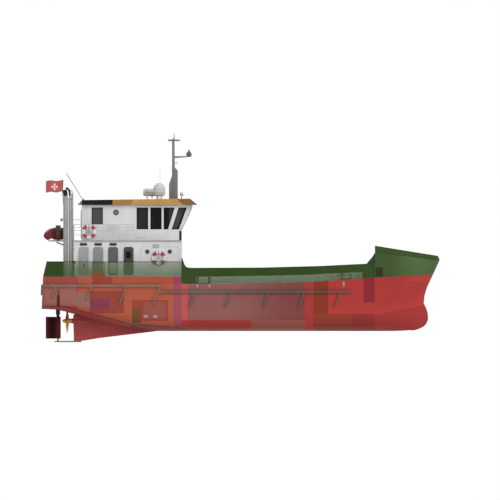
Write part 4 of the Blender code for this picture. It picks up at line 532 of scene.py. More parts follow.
def deck_paint(name, colour):
    """Non-slip paint: sand rolled into the coat, worn where people walk."""
    finish = Finish(name, colour, 0.8)
    tone = finish.clouded(colour, 0.12, 0.7)
    worn = finish.ramp(finish.noise(0.6, 6.0), 0.55, 0.75)
    finish.paint(finish.mix(finish.math("MULTIPLY", worn, 0.35), tone, finish.scaled(colour, 1.7)))
    finish.dull(0.1, 0.8)
    finish.bump(finish.noise(140.0, 2.0), 0.004, 0.7)
    return finish.material


def coated_fabric(name, colour):
    """Fabric under a rubber coat: a fine weave and a soft sheen."""
    finish = Finish(name, colour, 0.55)
    finish.paint(finish.clouded(colour, 0.12, 2.2))
    finish.dull(0.08, 3.0)
    finish.shader.inputs["Sheen Weight"].default_value = 0.15
    weave = finish.add("ShaderNodeTexWave", wave_type="BANDS", bands_direction="DIAGONAL")
    finish.feed(weave.inputs["Vector"], finish.place)
    weave.inputs["Scale"].default_value = 120.0
    weave.inputs["Distortion"].default_value = 0.5
    finish.bump(weave.outputs["Fac"], 0.0015, 0.4)
    return finish.material


# Greys of the panes seen from the side, the last a brownish painted glint; columns: from x, to x, colour
PANE_GREYS_AND_GLINT = (
    (-9.85, -9.07, (0.080, 0.074, 0.076)),
    (-8.45, -8.05, (0.230, 0.225, 0.225)),
    (-6.95, -6.13, (0.020, 0.020, 0.020)),
    (-6.05, -4.80, (0.005, 0.005, 0.005)),
    (-4.80, -4.45, (0.040, 0.038, 0.038)),
    (-4.45, -3.60, (0.062, 0.052, 0.048)),
)


def tinted_glass():
    """Dark panes with a little dried spray on them; each pane gets its own grey, and the forward panes a brownish
    painted glint.
    """
    finish = Finish("wheelhouse_glass", (0.012, 0.012, 0.013), 0.08, gloss=0.15)
    tint = (0.014, 0.014, 0.015)
    for aft, forward, colour in PANE_GREYS_AND_GLINT:
        tint = finish.mix(finish.inside((aft, forward), (4.0, 6.3)), tint, colour)
    spray = finish.ramp(finish.noise(3.0, 6.0, (1.0, 1.0, 0.4)), 0.5, 0.8)
    finish.paint(finish.mix(finish.math("MULTIPLY", spray, 0.06), tint, (0.10, 0.10, 0.10)))
    finish.feed(finish.shader.inputs["Roughness"], finish.ramp(spray, 0.0, 1.0, 0.06, 0.25))
    return finish.material


RUBBED_OFF_PAINT_AND_SHADE = 0.45


def fender_rubber():
    """Rubber gone grey, browner along the quarter, with the hull's colours rubbed off on it, their painted shade
    included.
    """
    grey = (0.032, 0.098, 0.078)
    brown = (0.125, 0.150, 0.104)
    finish = Finish("fender_rubber", grey, 0.9, gloss=0.04)
    aft = finish.ramp(finish.axis("X"), -5.6, -5.0, 1.0, 0.0)
    scuffs = finish.ramp(finish.noise(2.2, 6.0, (0.25, 1.0, 1.0)), 0.42, 0.7)
    tone = finish.mix(aft, finish.clouded(grey, 0.16, 2.0), finish.clouded(brown, 0.16, 2.0))
    # The hull's fields come in with their painted shade
    tone = finish.mix(RUBBED_OFF_PAINT_AND_SHADE, tone, fields_and_painted_shade(finish))
    finish.paint(finish.mix(finish.math("MULTIPLY", scuffs, 0.25), tone, finish.scaled(tone, 1.4)))
    finish.dull(0.08, 3.0)
    finish.bump(finish.noise(50.0, 4.0), 0.003, 0.5)
    return finish.material


def stack_steel():
    """Lagged exhaust pipes: grey, streaked, and black with soot towards their mouths."""
    finish = Finish("exhaust_lagging", (0.33, 0.33, 0.325), 0.6, 0.1)
    tone = finish.clouded((0.32, 0.317, 0.314), 0.10, 2.4)
    streak = finish.ramp(finish.noise(2.6, 5.0, (1.0, 1.0, 0.10)), 0.50, 0.72)
    tone = finish.mix(finish.math("MULTIPLY", streak, 0.25), tone, (0.16, 0.15, 0.14))
    for aft, forward in STACK_GAPS:
        tone = finish.mix(finish.inside((aft, forward), (1.5, 6.60)), tone, (0.62, 0.62, 0.61))
    soot = finish.ramp(finish.axis("Z"), SOOT_FROM, SOOT_FROM + 0.12)
    sooty = finish.math("LESS_THAN", finish.axis("X"), SOOT_BEFORE_X)
    finish.paint(finish.mix(finish.math("MULTIPLY", soot, sooty), tone, (0.020, 0.019, 0.018)))
    finish.dull(0.1, 4.0)
    finish.bump(finish.noise(30.0, 3.0), 0.0015, 0.4)
    return finish.material


OCHRE = (0.47, 0.245, 0.080)
DARK_COVER = (0.012, 0.010, 0.008)
# Colours of the roof's cover from aft to forward, each starting at a line that leans with the height:
# columns: x of the line at the brim, how far it leans for each metre up, colour forward of it
# The narrow brown band at -7.37 and the two browns at the front are painted shade, where the roof's edge turns away
# from the light.
ROOF_LINES = (
    (-10.45, 0.0, DARK_COVER),
    (-8.47, 0.0, (0.34, 0.175, 0.052)),
    (-7.37, 0.4, (0.25, 0.12, 0.040)),
    (-7.31, 0.4, OCHRE),
    (-3.89, -1.06, (0.215, 0.094, 0.024)),
    (-3.16, -0.75, (0.095, 0.046, 0.020)),
)
BRIM_Z = 6.20
SOOT_FROM = 6.72
SOOT_BEFORE_X = -11.155
# The web plate shows as light strips between the pipes
STACK_GAPS = ((-11.362, -11.292), (-11.178, -11.146))


def roof_paint():
    finish = Finish("roof_cover", OCHRE, 0.6)
    tone = (0.17, 0.145, 0.05)
    rise = finish.math("SUBTRACT", finish.axis("Z"), BRIM_Z)
    # Painted shade at the chamfer and the front corner comes in with these lines
    for x, lean, colour in ROOF_LINES:
        along = finish.math("MULTIPLY_ADD", rise, -lean, finish.axis("X"))
        tone = finish.mix(finish.math("GREATER_THAN", along, x), tone, colour)
    drift = finish.ramp(finish.noise(1.4, 5.0), 0.3, 0.7)
    tone = finish.mix(finish.math("MULTIPLY", drift, 0.16), tone, finish.scaled(tone, 0.6))
    finish.paint(tone)
    finish.dull(0.08, 1.5)
    finish.bump(finish.noise(90.0, 2.0), 0.003, 0.5)
    return finish.material


paints["deck"] = deck_paint("deck_green_non_slip", (0.085, 0.125, 0.080))
paints["boat_deck"] = deck_paint("boat_deck_grey_non_slip", (0.36, 0.37, 0.365))
paints["tube"] = coated_fabric("rescue_tube_fabric", (0.135, 0.022, 0.024))
# A brighter red for the tube ends: painted highlight
paints["tube_painted_highlight"] = coated_fabric("rescue_tube_painted_highlight", (0.19, 0.024, 0.026))
paints["glass"] = tinted_glass()
paints["rubber"] = fender_rubber()
paints["pipe"] = stack_steel()
paints["roof"] = roof_paint()
print("paints:", len(paints))

# %% [markdown]
# Shapes are made in bmesh from four moves: an outline pushed along an axis, a profile turned about
# one, a bar that follows a path, and a box. A piece gets softly rounded edges from a bevel modifier,
# because a real edge is never razor sharp and a thin highlight on it tells the eye how big it is.
# %% Shape helpers
WELD = 0.0002
SHARP = 35.0


def add_faces(bm, loops):
    return [bm.faces.new(loop) for loop in loops]


def add_loft(bm, rings, closed=False):
    """Skin through rings of equal count: capped at both ends, or closed on itself."""
    verts = [[bm.verts.new(point) for point in ring] for ring in rings]
    loops = [] if closed else [verts[0][::-1], verts[-1]]
    pairs = list(zip(verts, verts[1:] + verts[:1])) if closed else list(zip(verts, verts[1:]))
    for low, high in pairs:
        for i in range(len(low)):
            j = (i + 1) % len(low)
            loops.append((low[i], low[j], high[j], high[i]))
    return add_faces(bm, loops)


def add_prism(bm, outline, axis, low, high):
    """Push a flat outline along an axis; its pairs are the other two coordinates in order."""
    spots = {
        "x": lambda a, b, c: (c, a, b),
        "y": lambda a, b, c: (a, c, b),
        "z": lambda a, b, c: (a, b, c),
    }
    return add_loft(bm, [[spots[axis](a, b, end) for a, b in outline] for end in (low, high)])


def add_box(bm, x, y, z):
    return add_prism(bm, ((x[0], y[0]), (x[1], y[0]), (x[1], y[1]), (x[0], y[1])), "z", z[0], z[1])


def ring_points(centre, normal, radius, sides, hint):
    """Circle about a point, square to a direction, its first point towards a hint."""
    normal = Vector(normal).normalized()
    first = (Vector(hint) - normal * Vector(hint).dot(normal)).normalized()
    second = normal.cross(first)
    turns = [2 * math.pi * i / sides for i in range(sides)]
    return [Vector(centre) + radius * (math.cos(t) * first + math.sin(t) * second) for t in turns]


def add_turned(bm, base, axis, rings, sides=24):
    """Profile turned about an axis; rings are distance along it and radius."""
    axis = Vector(axis).normalized()
    hint = (0.0, 0.0, 1.0) if abs(axis.z) < 0.9 else (1.0, 0.0, 0.0)
    return add_loft(bm, [ring_points(Vector(base) + axis * at, axis, r, sides, hint) for at, r in rings])


def add_bar(bm, path, radius, sides=10, closed=False):
    """Round bar along a path of points, mitred at each bend."""
    path = [Vector(point) for point in path]
    first_way = (path[1] - path[0]).normalized()
    hint = Vector((0.0, 1.0, 0.0)) if abs(first_way.y) < 0.8 else Vector((0.0, 0.0, 1.0))
    count = len(path)
    rings = []
    for i, point in enumerate(path):
        before = path[i - 1] if i or closed else point
        after = path[(i + 1) % count] if closed or i + 1 < count else point
        way = (point - before).normalized() + (after - point).normalized()
        rings.append(ring_points(point, way, radius, sides, hint))
        way.normalize()
        hint = hint - way * hint.dot(way)
    return add_loft(bm, rings, closed)


def arc(centre, radius, start, end, steps):
    """Points of an arc in a plane, from one angle in degrees to another."""
    turns = [math.radians(start + (end - start) * i / steps) for i in range(steps + 1)]
    return [(centre[0] + radius * math.cos(t), centre[1] + radius * math.sin(t)) for t in turns]


def rounded(x, z, radius, steps=4):
    """Rectangle with round corners, as pairs that run anticlockwise."""
    outline = []
    for cx, cz, start in (
        (x[1] - radius, z[0] + radius, -90), (x[1] - radius, z[1] - radius, 0),
        (x[0] + radius, z[1] - radius, 90), (x[0] + radius, z[0] + radius, 180),
    ):
        outline += arc((cx, cz), radius, start, start + 90, steps)
    return outline


def put(name, bm, paint, body="hull", edge=0.0, sharp=SHARP):
    """Turn a bmesh into a piece with its finish, riding on its body."""
    bmesh.ops.recalc_face_normals(bm, faces=bm.faces[:])
    mesh = bpy.data.meshes.new(name)
    bm.to_mesh(mesh)
    bm.free()
    for key in paint.split():
        mesh.materials.append(paints[key])
    mesh.shade_smooth()
    mesh.set_sharp_from_angle(angle=math.radians(sharp))
    piece = bpy.data.objects.new(name, mesh)
    bpy.context.scene.collection.objects.link(piece)
    if edge:
        bevel = piece.modifiers.new("rounded_edges", "BEVEL")
        bevel.width = edge
        bevel.segments = 2
        bevel.limit_method = "ANGLE"
        bevel.angle_limit = math.radians(SHARP)
        bevel.harden_normals = True
    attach(piece, body)
    return piece


print("shape helpers ready")

# %% [markdown]
# A solid from the frame arrives as loose triangles. Welding its corners and dissolving flat seams
# gives back whole faces, which a bevel needs. The welded copy then stands for the solid, in the same
# place. Faces can be sorted by a rule, so that a deck gets deck paint and a side gets side paint.
# %% Dressing a solid
BODY_OF = {node: body for body, nodes in frame["record"]["behaviour"]["bodies"].items() for node in nodes}


def welded(node, flat=1.0, cuts=()):
    """Copy of a solid as a bmesh, with whole flat faces, and new edges along the cutting planes."""
    bm = bmesh.new()
    bm.from_mesh(solids[node].data)
    bmesh.ops.remove_doubles(bm, verts=bm.verts[:], dist=WELD)
    if flat:
        bmesh.ops.dissolve_limit(
            bm, angle_limit=math.radians(flat), verts=bm.verts[:], edges=bm.edges[:], use_dissolve_boundaries=False,
        )
    for spot, normal in cuts:
        whole = bm.verts[:] + bm.edges[:] + bm.faces[:]
        bmesh.ops.bisect_plane(bm, geom=whole, dist=0.0005, plane_co=spot, plane_no=normal)
    return bm


def dress(node, paint, edge=0.006, sharp=SHARP, flat=1.0, rule=None, cuts=()):
    """Welded copy of a solid with rounded edges, which stands for it."""
    bm = welded(node, flat, cuts)
    if rule:
        bm.normal_update()
        for face in bm.faces:
            face.material_index = rule(face.calc_center_median(), face.normal)
    for face in bm.faces:
        face.smooth = True
    piece = put(node + "_dressed", bm, paint, BODY_OF[node], edge, sharp)
    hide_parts(node)
    return piece


# %% [markdown]
# The hull is one welded skin. Its deck faces point up and lie above the water, and its rooms lie well
# inside, so two rules are enough to sort three paints. The skeg, rudder and propeller hang below it.
# %% Hull and stern gear
DECK_LEVEL = 1.0
STEP_X = -4.0
ROOM_BOXES = (((-6.95, -4.65), 1.20), ((-3.05, 3.85), 2.05))


def hull_rule(centre, normal):
    for (aft, forward), half in ROOM_BOXES:
        if aft < centre.x < forward and abs(centre.y) < half and -1.6 < centre.z:
            return 2
    step = abs(normal.x) > 0.7 and abs(centre.x - STEP_X) < 0.1
    return 1 if centre.z > DECK_LEVEL and (normal.z > 0.9 or step) else 0


dress("hull", "hull deck cream", 0.0, 32.0, 0.0, hull_rule)
dress("skeg", "bottom", 0.010)
dress("rudder", "rudder", 0.008)
dress("rudder_bearing", "gear", 0.006)
dress("propeller", "bronze", 0.0, 50.0)
dress("main_engine", "engine", 0.02)
print("hull dressed")

# %% [markdown]
# Bulwarks, the whaleback over the bow, the cargo trunk and its lids. The bulwark is cut where the
# house and the trunk begin and end behind it, so that only those stretches take the thin paint. The
# port plate is out of sight on the sheet and stays solid.
# %% Bulwarks, whaleback and trunk
HOUSE_BEHIND_X = (-11.68, -4.01)
TRUNK_BEHIND_X = (-3.07, 7.69)
TRUNK_TOP = ((-3.07, 1.560), (2.50, 1.640), (7.69, 1.855))


def slope_of(low, high):
    return (high[1] - low[1]) / (high[0] - low[0])


BULWARK_CUTS = [((x, 0.0, 0.0), (1.0, 0.0, 0.0)) for x in HOUSE_BEHIND_X + TRUNK_BEHIND_X + (TRUNK_TOP[1][0],)]
for low, high in zip(TRUNK_TOP, TRUNK_TOP[1:]):
    BULWARK_CUTS.append(((low[0], 0.0, low[1]), (-slope_of(low, high), 0.0, 1.0)))


def bulwark_rule(centre, normal):
    """1 where something pale stands behind the plate, and 0 where it is drawn solid."""
    if HOUSE_BEHIND_X[0] < centre.x < HOUSE_BEHIND_X[1]:
        return 1
    for low, high in zip(TRUNK_TOP, TRUNK_TOP[1:]):
        if low[0] < centre.x < high[0]:
            return 1 if centre.z < low[1] + slope_of(low, high) * (centre.x - low[0]) else 0
    return 0


def forecastle_rule(centre, normal):
    if normal.y * centre.y < -0.01 or normal.z < -0.8 or (centre.x < 8.6 and abs(normal.x) > 0.9):
        return 1
    # Upward faces take the top's paint, which carries painted shade
    return 2 if normal.z > 0.35 else 0


dress("bulwark_starboard", "bulwark thin_bulwark", 0.0, rule=bulwark_rule, cuts=BULWARK_CUTS)
dress("bulwark_port", "bulwark", 0.006)
for side in ("starboard", "port"):
    dress("fender_" + side, "rubber", 0.012)
    dress("bitts_aft_" + side, "gear", 0.006)
    dress("bitts_mid_" + side, "gear", 0.006)
    dress("vent_" + side, "green", 0.006)
dress("bulwark_stern", "bulwark", 0.008)
dress("fender_stern", "rubber", 0.02)
dress("forecastle", "forecastle green whaleback_top", 0.012, 50.0, 0.5, forecastle_rule)
dress("cargo_trunk", "trunk", 0.012)
dress("hatch_lid_aft", "boat_deck", 0.010)
dress("hatch_lid_forward", "boat_deck", 0.010)
print("bulwarks dressed")

# %% [markdown]
# The houses: white enamel outside, a cream lining inside. A face belongs to the inside when it looks
# towards the middle of its room.
# %% Houses
HOUSE_MIDDLE = Vector((-7.4, 0.0, 2.7))
WHEELHOUSE_MIDDLE = Vector((-7.2, 0.0, 5.1))


def looks_inside(middle):
    def rule(centre, normal):
        level = Vector((normal.x, normal.y, 0.0))
        towards = middle - centre
        return 1 if level.length > 0.3 and level.dot(towards) > 0 else 0
    return rule


dress("deckhouse", "white cream", 0.008, rule=looks_inside(HOUSE_MIDDLE))
dress("wheelhouse", "white cream", 0.008, rule=looks_inside(WHEELHOUSE_MIDDLE))
dress("boat_deck", "boat_deck", 0.010)
dress("wheelhouse_roof", "roof white", 0.012, rule=lambda centre, normal: 1 if normal.z < -0.7 else 0)
for name in ("aft", "mid_aft", "mid_forward", "forward"):
    for side in ("starboard", "port"):
        dress("door_%s_%s" % (name, side), "door_" + name, 0.008)
dress("door_wheelhouse", "white", 0.008)
for node in ("glass_side_starboard", "glass_side_port", "glass_front", "glass_aft_starboard", "glass_aft_port"):
    dress(node, "glass", 0.0)
print("houses dressed")

# %% [markdown]
# Roof gear, stern gear and safety gear.
# %% Gear
CHEEKS_X = (6.53, 6.80)
dress("winch_frame_starboard", "gear rail", 0.008,
      rule=lambda centre, normal: 1 if CHEEKS_X[0] < centre.x < CHEEKS_X[1] and centre.z > 1.55 else 0)
dress("winch_drum_starboard", "steel", 0.006)
dress("deck_locker", "red_box", 0.008)
dress("exhaust_stack", "pipe", 0.004, 40.0)
dress("boat_cradle", "steel", 0.006)
dress("rescue_boat", "tube", 0.010, 50.0)
LEG_TOP = 4.30
dress("outboard_engine", "cowl leg", 0.02, rule=lambda centre, normal: 1 if centre.z < LEG_TOP else 0,
      cuts=[((0.0, 0.0, LEG_TOP), (0.0, 0.0, 1.0))])
dress("mast", "mast", 0.008)
dress("masthead_lamp", "lamp_body", 0.006)
dress("satellite_dome", "plastic", 0.0, 50.0)
dress("life_raft", "plastic", 0.01, 50.0)
dress("whip_antenna_aft", "black", 0.0)
dress("compass_dome", "plastic", 0.0, 50.0)
print("gear dressed")

# %% [markdown]
# A few shapes come back on almost every fitting: a ring that frames an opening, a pane or plate laid
# on a wall, a flat bar along a curve, a bolt. Walls lean in different ways, so each wall gets a small
# function that turns a place on it, and a distance out of it, into a point of the boat.
# %% Fitting helpers
DRAUGHT = 1.95
SIDES = (("starboard", -1), ("port", 1))
SKINS = {}


def up(h):
    """Height above the keel's base line, as drawings give it, turned into height above the water."""
    return h - DRAUGHT


def skin(node):
    """Search tree over a solid's faces, built once."""
    if node not in SKINS:
        bm = bmesh.new()
        bm.from_mesh(solids[node].data)
        SKINS[node] = BVHTree.FromBMesh(bm)
        bm.free()
    return SKINS[node]


def skin_y(node, x, z, side):
    """Outer face of a solid at one place of its side, found with a level ray from outboard."""
    hit = skin(node).ray_cast(Vector((x, side * 9.0, z)), Vector((0.0, -side, 0.0)))[0]
    if hit is None:
        raise ValueError("no side of %s at x %.3f z %.3f" % (node, x, z))
    return hit.y


def skin_top(node, x, y):
    """Height of a solid's top at one place of its plan."""
    hit = skin(node).ray_cast(Vector((x, y, 20.0)), Vector((0.0, 0.0, -1.0)))[0]
    if hit is None:
        raise ValueError("no top of %s at x %.3f y %.3f" % (node, x, y))
    return hit.z


def table_height(line, x):
    """Height of a bent line at x, from its rows of x and height."""
    for (x0, h0), (x1, h1) in zip(line, line[1:]):
        if x0 <= x <= x1:
            return h0 + (h1 - h0) * (x - x0) / (x1 - x0)
    raise ValueError("x %.3f lies off the line" % x)


def on_wall(side, half):
    """Upright side wall: a runs along the boat, b is a height, out leaves the wall."""
    return lambda a, b, out: (a, side * (half + out), up(b))


def on_skin(node, side):
    """Curved side of a solid."""
    return lambda a, b, out: (a, skin_y(node, a, up(b), side) + side * out, up(b))


def across_wall(x, way):
    """Wall that faces ahead or astern: a runs to port."""
    return lambda a, b, out: (x + way * out, a, up(b))


def grown(outline, by):
    """Convex outline that runs anticlockwise, pushed out by a distance."""
    corners = [Vector(point) for point in outline]
    result = []
    for i, corner in enumerate(corners):
        one = (corner - corners[i - 1]).normalized()
        two = (corners[(i + 1) % len(corners)] - corner).normalized()
        lean = Vector((one.y, -one.x)) + Vector((two.y, -two.x))
        spot = corner + lean * (by / (1 + one.dot(two)))
        result.append((spot.x, spot.y))
    return result


def add_frame(bm, place, outer, inner, low, high):
    """Ring between two outlines of one wall, from one distance out of it to another."""
    rows = ((outer, low), (outer, high), (inner, high), (inner, low))
    return add_loft(bm, [[place(a, b, out) for a, b in outline] for outline, out in rows], closed=True)


def add_pane(bm, place, outline, low, high):
    return add_loft(bm, [[place(a, b, out) for a, b in outline] for out in (low, high)])


def add_strip(bm, path, across, wide, thick):
    """Flat bar along a path: its width lies across, and its thickness stands on the path."""
    path = [Vector(point) for point in path]
    reach = Vector(across).normalized() * wide / 2
    rings = []
    for i, point in enumerate(path):
        way = path[min(i + 1, len(path) - 1)] - path[max(i - 1, 0)]
        rise = way.cross(reach).normalized() * thick
        rings.append([point - reach, point + reach, point + reach + rise, point - reach + rise])
    return add_loft(bm, rings)


def add_bolt(bm, spot, axis, radius=0.014, proud=0.012):
    """Hexagon head on a face."""
    add_turned(bm, spot, axis, ((-0.004, radius), (proud * 0.8, radius), (proud, radius * 0.8)), 6)


def even(low, high, count):
    return [low + (high - low) * i / (count - 1) for i in range(count)]


def circle(centre, radius, sides=20):
    return arc(centre, radius, 0, 360 - 360 / sides, sides - 1)


print("fitting helpers ready")

# %% [markdown]
# The bulwark is thin plate, so its head carries a flat capping bar, with small brackets under it. The
# bar follows the rail's sweep down to the cargo deck and up again to the bow. A sweep along points
# taken from the plate itself keeps the bar on it wherever the hull curves in.
# %% Capping rail
RAIL_LINE = (
    (-12.73, 4.48), (-4.05, 4.48), (-3.985, 4.73), (-3.88, 4.40), (-3.80, 4.22), (-3.70, 4.11),
    (-3.46, 4.06), (1.20, 4.08), (4.95, 4.18), (7.97, 4.33), (8.25, 4.66), (8.40, 4.84), (8.47, 5.00),
)
CAP_WIDE = 0.12
CAP_THICK = 0.028
PLATE = 0.08


def rail_points(step=0.6):
    """The rail's head from aft to forward, with points close enough to follow the hull."""
    points = []
    for (x0, h0), (x1, h1) in zip(RAIL_LINE, RAIL_LINE[1:]):
        count = max(1, round((x1 - x0) / step))
        points += [(x0 + (x1 - x0) * i / count, h0 + (h1 - h0) * i / count) for i in range(count)]
    return points + [RAIL_LINE[-1]]


for name, side in SIDES:
    node = "bulwark_" + name
    cap = bmesh.new()
    path = []
    for x, h in rail_points():
        y = skin_y(node, x, up(h) - 0.02, side)
        path.append((x, y - side * PLATE / 2, up(h) - 0.004))
    add_strip(cap, path, (0, 1, 0), CAP_WIDE, CAP_THICK)
    put("rail_cap_" + name, cap, "dark_green", edge=0.006)
    brackets = bmesh.new()
    for x in even(-12.4, 7.7, 28):
        if -4.6 < x < -3.3:
            continue
        z = up(table_height(RAIL_LINE, x)) - 0.004
        y = skin_y(node, x, z - 0.02, side) - side * (PLATE - 0.004)
        outline = ((y, z), (y - side * 0.09, z), (y, z - 0.16))
        add_prism(brackets, outline, "x", x - 0.006, x + 0.006)
    put("rail_brackets_" + name, brackets, "green")
stern_cap = bmesh.new()
stern_half = abs(skin_y("bulwark_stern", -12.70, up(4.40), 1))
add_box(stern_cap, (-12.76, -12.63), (-stern_half - 0.03, stern_half + 0.03), (up(4.476), up(4.508)))
put("rail_cap_stern", stern_cap, "dark_green", edge=0.006)
print("capping rail points:", len(path))

# %% [markdown]
# The bow's whaleback sheds the sea over the crew's heads. Half-round bars protect its knuckle and its
# ridge, and one more runs down the stem. On its side hangs a freeing-port flap.
# %% Whaleback trim
CROWN = ((8.50, 5.50), (12.57, 4.84))
STEM_HEAD = (12.69, 4.59)
STEM_RED = ((11.66, 1.80), (11.72, 2.36), (11.91, 2.91), (12.26, 3.65))
FOREFOOT = (
    (10.85, 0.080), (11.165, 0.138), (11.355, 0.200), (11.53, 0.283), (11.66, 0.373), (11.785, 0.512),
    (11.868, 0.71), (11.885, 0.957), (11.81, 1.27), (11.66, 1.70),
)
KNUCKLE_AFT_H = 5.11
FLAP = ((8.56, 3.52), (8.99, 3.54), (8.99, 4.09), (8.56, 4.09))


def knuckle_point(share, side):
    """Knuckle of the whaleback between its open end and the stem head."""
    x = CROWN[0][0] + 0.01 + share * (STEM_HEAD[0] - CROWN[0][0] - 0.05)
    h = KNUCKLE_AFT_H + share * (STEM_HEAD[1] - KNUCKLE_AFT_H)
    return (x, skin_y("forecastle", x, up(h) - 0.03, side) - side * 0.012, up(h))


ridge = bmesh.new()
add_bar(ridge, [(x, 0.0, up(h) - 0.012) for x, h in CROWN], 0.032, 10)
stem_head = (STEM_HEAD[0] - 0.035, 0.0, up(STEM_HEAD[1]))
add_bar(ridge, [(CROWN[1][0], 0.0, up(CROWN[1][1]) - 0.012), stem_head], 0.03, 10)
for name, side in SIDES:
    add_bar(ridge, [knuckle_point(share, side) for share in even(0.0, 1.0, 22)], 0.022, 8)
put("whaleback_bars", ridge, "dark_green")

stem = bmesh.new()
add_bar(stem, [(x - 0.03, 0.0, up(h)) for x, h in STEM_RED], 0.028, 10)
add_bar(stem, [(x, 0.0, up(h)) for x, h in FOREFOOT], 0.055, 12)
put("stem_bar_low", stem, "hull")
stem = bmesh.new()
add_bar(stem, [(STEM_RED[-1][0] - 0.03, 0.0, up(STEM_RED[-1][1])), stem_head], 0.028, 10)
put("stem_bar_high", stem, "dark_green")

for name, side in SIDES:
    place = on_skin("forecastle", side)
    flap = bmesh.new()
    add_pane(flap, place, FLAP, -0.004, 0.012)
    put("freeing_flap_" + name, flap, "dark_green", edge=0.004)
    trim = bmesh.new()
    add_frame(trim, place, grown(FLAP, 0.035), FLAP, -0.004, 0.018)
    for x in (8.65, 8.90):
        add_bar(trim, [place(x - 0.04, 4.10, 0.018), place(x + 0.04, 4.10, 0.018)], 0.014, 8)
    put("freeing_flap_frame_" + name, trim, "green")
print("whaleback trimmed")

# %% [markdown]
# Zinc anodes are bolted under water so that they rust away instead of the steel. Beside them come the
# hull's small fittings: overboard pipes, bracket pads under the bollards, and flats that hold the
# rubber fenders. All are laid on the hull's own curve.
# %% Hull fittings
ANODES_X = (-6.33, -5.70)
ANODE_H = 0.94
# Pads under the bollards and the winch, columns: x, height of the top, depth
PADS = ((-2.995, 3.00, 0.24), (-2.193, 3.00, 0.24), (6.48, 3.19, 0.44))
OUTLETS = ((-0.34, 2.33), (-0.06, 2.33))
FENDER_RUNS = (((-12.90, -5.30), (2.82, 3.04)), ((-5.40, 6.96), (2.43, 2.65)))

for name, side in SIDES:
    place = on_skin("hull", side)
    anodes = bmesh.new()
    for x in ANODES_X:
        bar = rounded((x - 0.15, x + 0.15), (ANODE_H - 0.10, ANODE_H + 0.10), 0.06)
        add_pane(anodes, place, bar, -0.002, 0.045)
    put("anodes_" + name, anodes, "zinc", edge=0.012)
    pads = bmesh.new()
    for x, h, deep in PADS:
        add_pane(pads, place, ((x, h - deep), (x + 0.085, h), (x - 0.085, h)), -0.004, 0.014)
    put("bracket_pads_" + name, pads, "pad", edge=0.004)
    pipes = bmesh.new()
    for x, h in OUTLETS:
        add_frame(pipes, place, circle((x, h), 0.085, 14), circle((x, h), 0.045, 14), -0.004, 0.03)
    put("overboard_pipes_" + name, pipes, "hull", edge=0.004)
    flats = bmesh.new()
    for (aft, forward), levels in FENDER_RUNS:
        for h in levels:
            path = [(x, skin_y("hull", x, up(h), side) + side * 0.028, up(h)) for x in even(aft, forward, 22)]
            add_strip(flats, path, (0, 1, 0), 0.065, 0.014)
    put("fender_flats_" + name, flats, "rubber")
# A cover strip closes the joint where the bulwark starts at the step of the deck
STEP_STRIP_X = (-4.045, -3.975)
STEP_STRIP_H = (3.04, 3.56)
for name, side in (("starboard", -1), ("port", 1)):
    skin_at = abs(skin_y("hull", -4.06, up(3.2), side))
    strip = bmesh.new()
    add_box(strip, STEP_STRIP_X, sorted((side * (skin_at - 0.10), side * (skin_at - 0.004))), (up(STEP_STRIP_H[0]), up(STEP_STRIP_H[1])))
    put("step_strip_" + name, strip, "bulwark")
print("hull fittings on both sides")

# %% [markdown]
# Plate closes the stern frame above the skeg: it fills the wedge between the skeg's upper edge and
# the hull's rising bottom. Its lower edge follows the skeg and its upper one ends inside the hull.
# %% Stern frame plate
SKEG_PLATE_HALF = 0.07


def hull_bottom(x):
    """Height of the hull's underside on the middle line."""
    return skin("hull").ray_cast(Vector((x, 0.0, -6.0)), Vector((0.0, 0.0, 1.0)))[0].z


# From the skeg's upright aft edge to where its top meets the hull
SKEG_PLATE_X = (-10.955, -8.6)
stations = even(SKEG_PLATE_X[0], SKEG_PLATE_X[1], 12)
outline = [(x, skin_top("skeg", x, 0.0) - 0.03) for x in stations]
outline += [(x, hull_bottom(x) + 0.06) for x in reversed(stations)]
plate = bmesh.new()
add_prism(plate, outline, "y", -SKEG_PLATE_HALF, SKEG_PLATE_HALF)
put("stern_frame_plate", plate, "bottom", sharp=30.0)
print("skeg top to hull at its aft end:", round(outline[-1][1] - outline[0][1], 3))

# %% [markdown]
# Weathertight steel doors have an embossed panel, dogs that clamp the free edge and a bar to pull on.
# The frame round each stays on the house, the rest rides on the door. Frames keep clear of the hinge
# pins, so that each door still swings.
# %% Side doors
DOORS = (
    ("aft", -10.66, -10.03), ("mid_aft", -9.72, -9.09),
    ("mid_forward", -8.75, -8.12), ("forward", -7.75, -7.12),
)
DOOR_H = (3.63, 5.43)
HOUSE_HALF = 2.90
DOOR_FACE = HOUSE_HALF + 0.05
DOOR_PANE_X = (0.17, 0.43)
DOOR_PANE_H = (4.72, 5.13)
LOUVRES = ((-10.56, -10.14), (-9.62, -9.18), (-8.65, -8.23))
LOUVRE_H = (5.54, 5.69)
KICK_H = (3.74, 4.42)


def add_door_gear(bm, place, aft, forward):
    """Embossed ring, pull bar and three dogs on a door's face."""
    ring = rounded((aft + 0.07, forward - 0.06), (DOOR_H[0] + 0.09, DOOR_H[1] - 0.09), 0.09)
    add_frame(bm, place, ring, grown(ring, -0.025), -0.003, 0.006)
    add_bar(bm, [place(aft + 0.12, 4.34, 0.0), place(aft + 0.12, 4.34, 0.04), place(aft + 0.12, 4.62, 0.04),
                 place(aft + 0.12, 4.62, 0.0)], 0.010, 8)
    for h in (3.95, 4.50, 5.15):
        dog = ((aft + 0.005, h), (aft + 0.085, h - 0.012), (aft + 0.085, h + 0.022), (aft + 0.005, h + 0.03))
        add_pane(bm, place, dog, -0.002, 0.016)


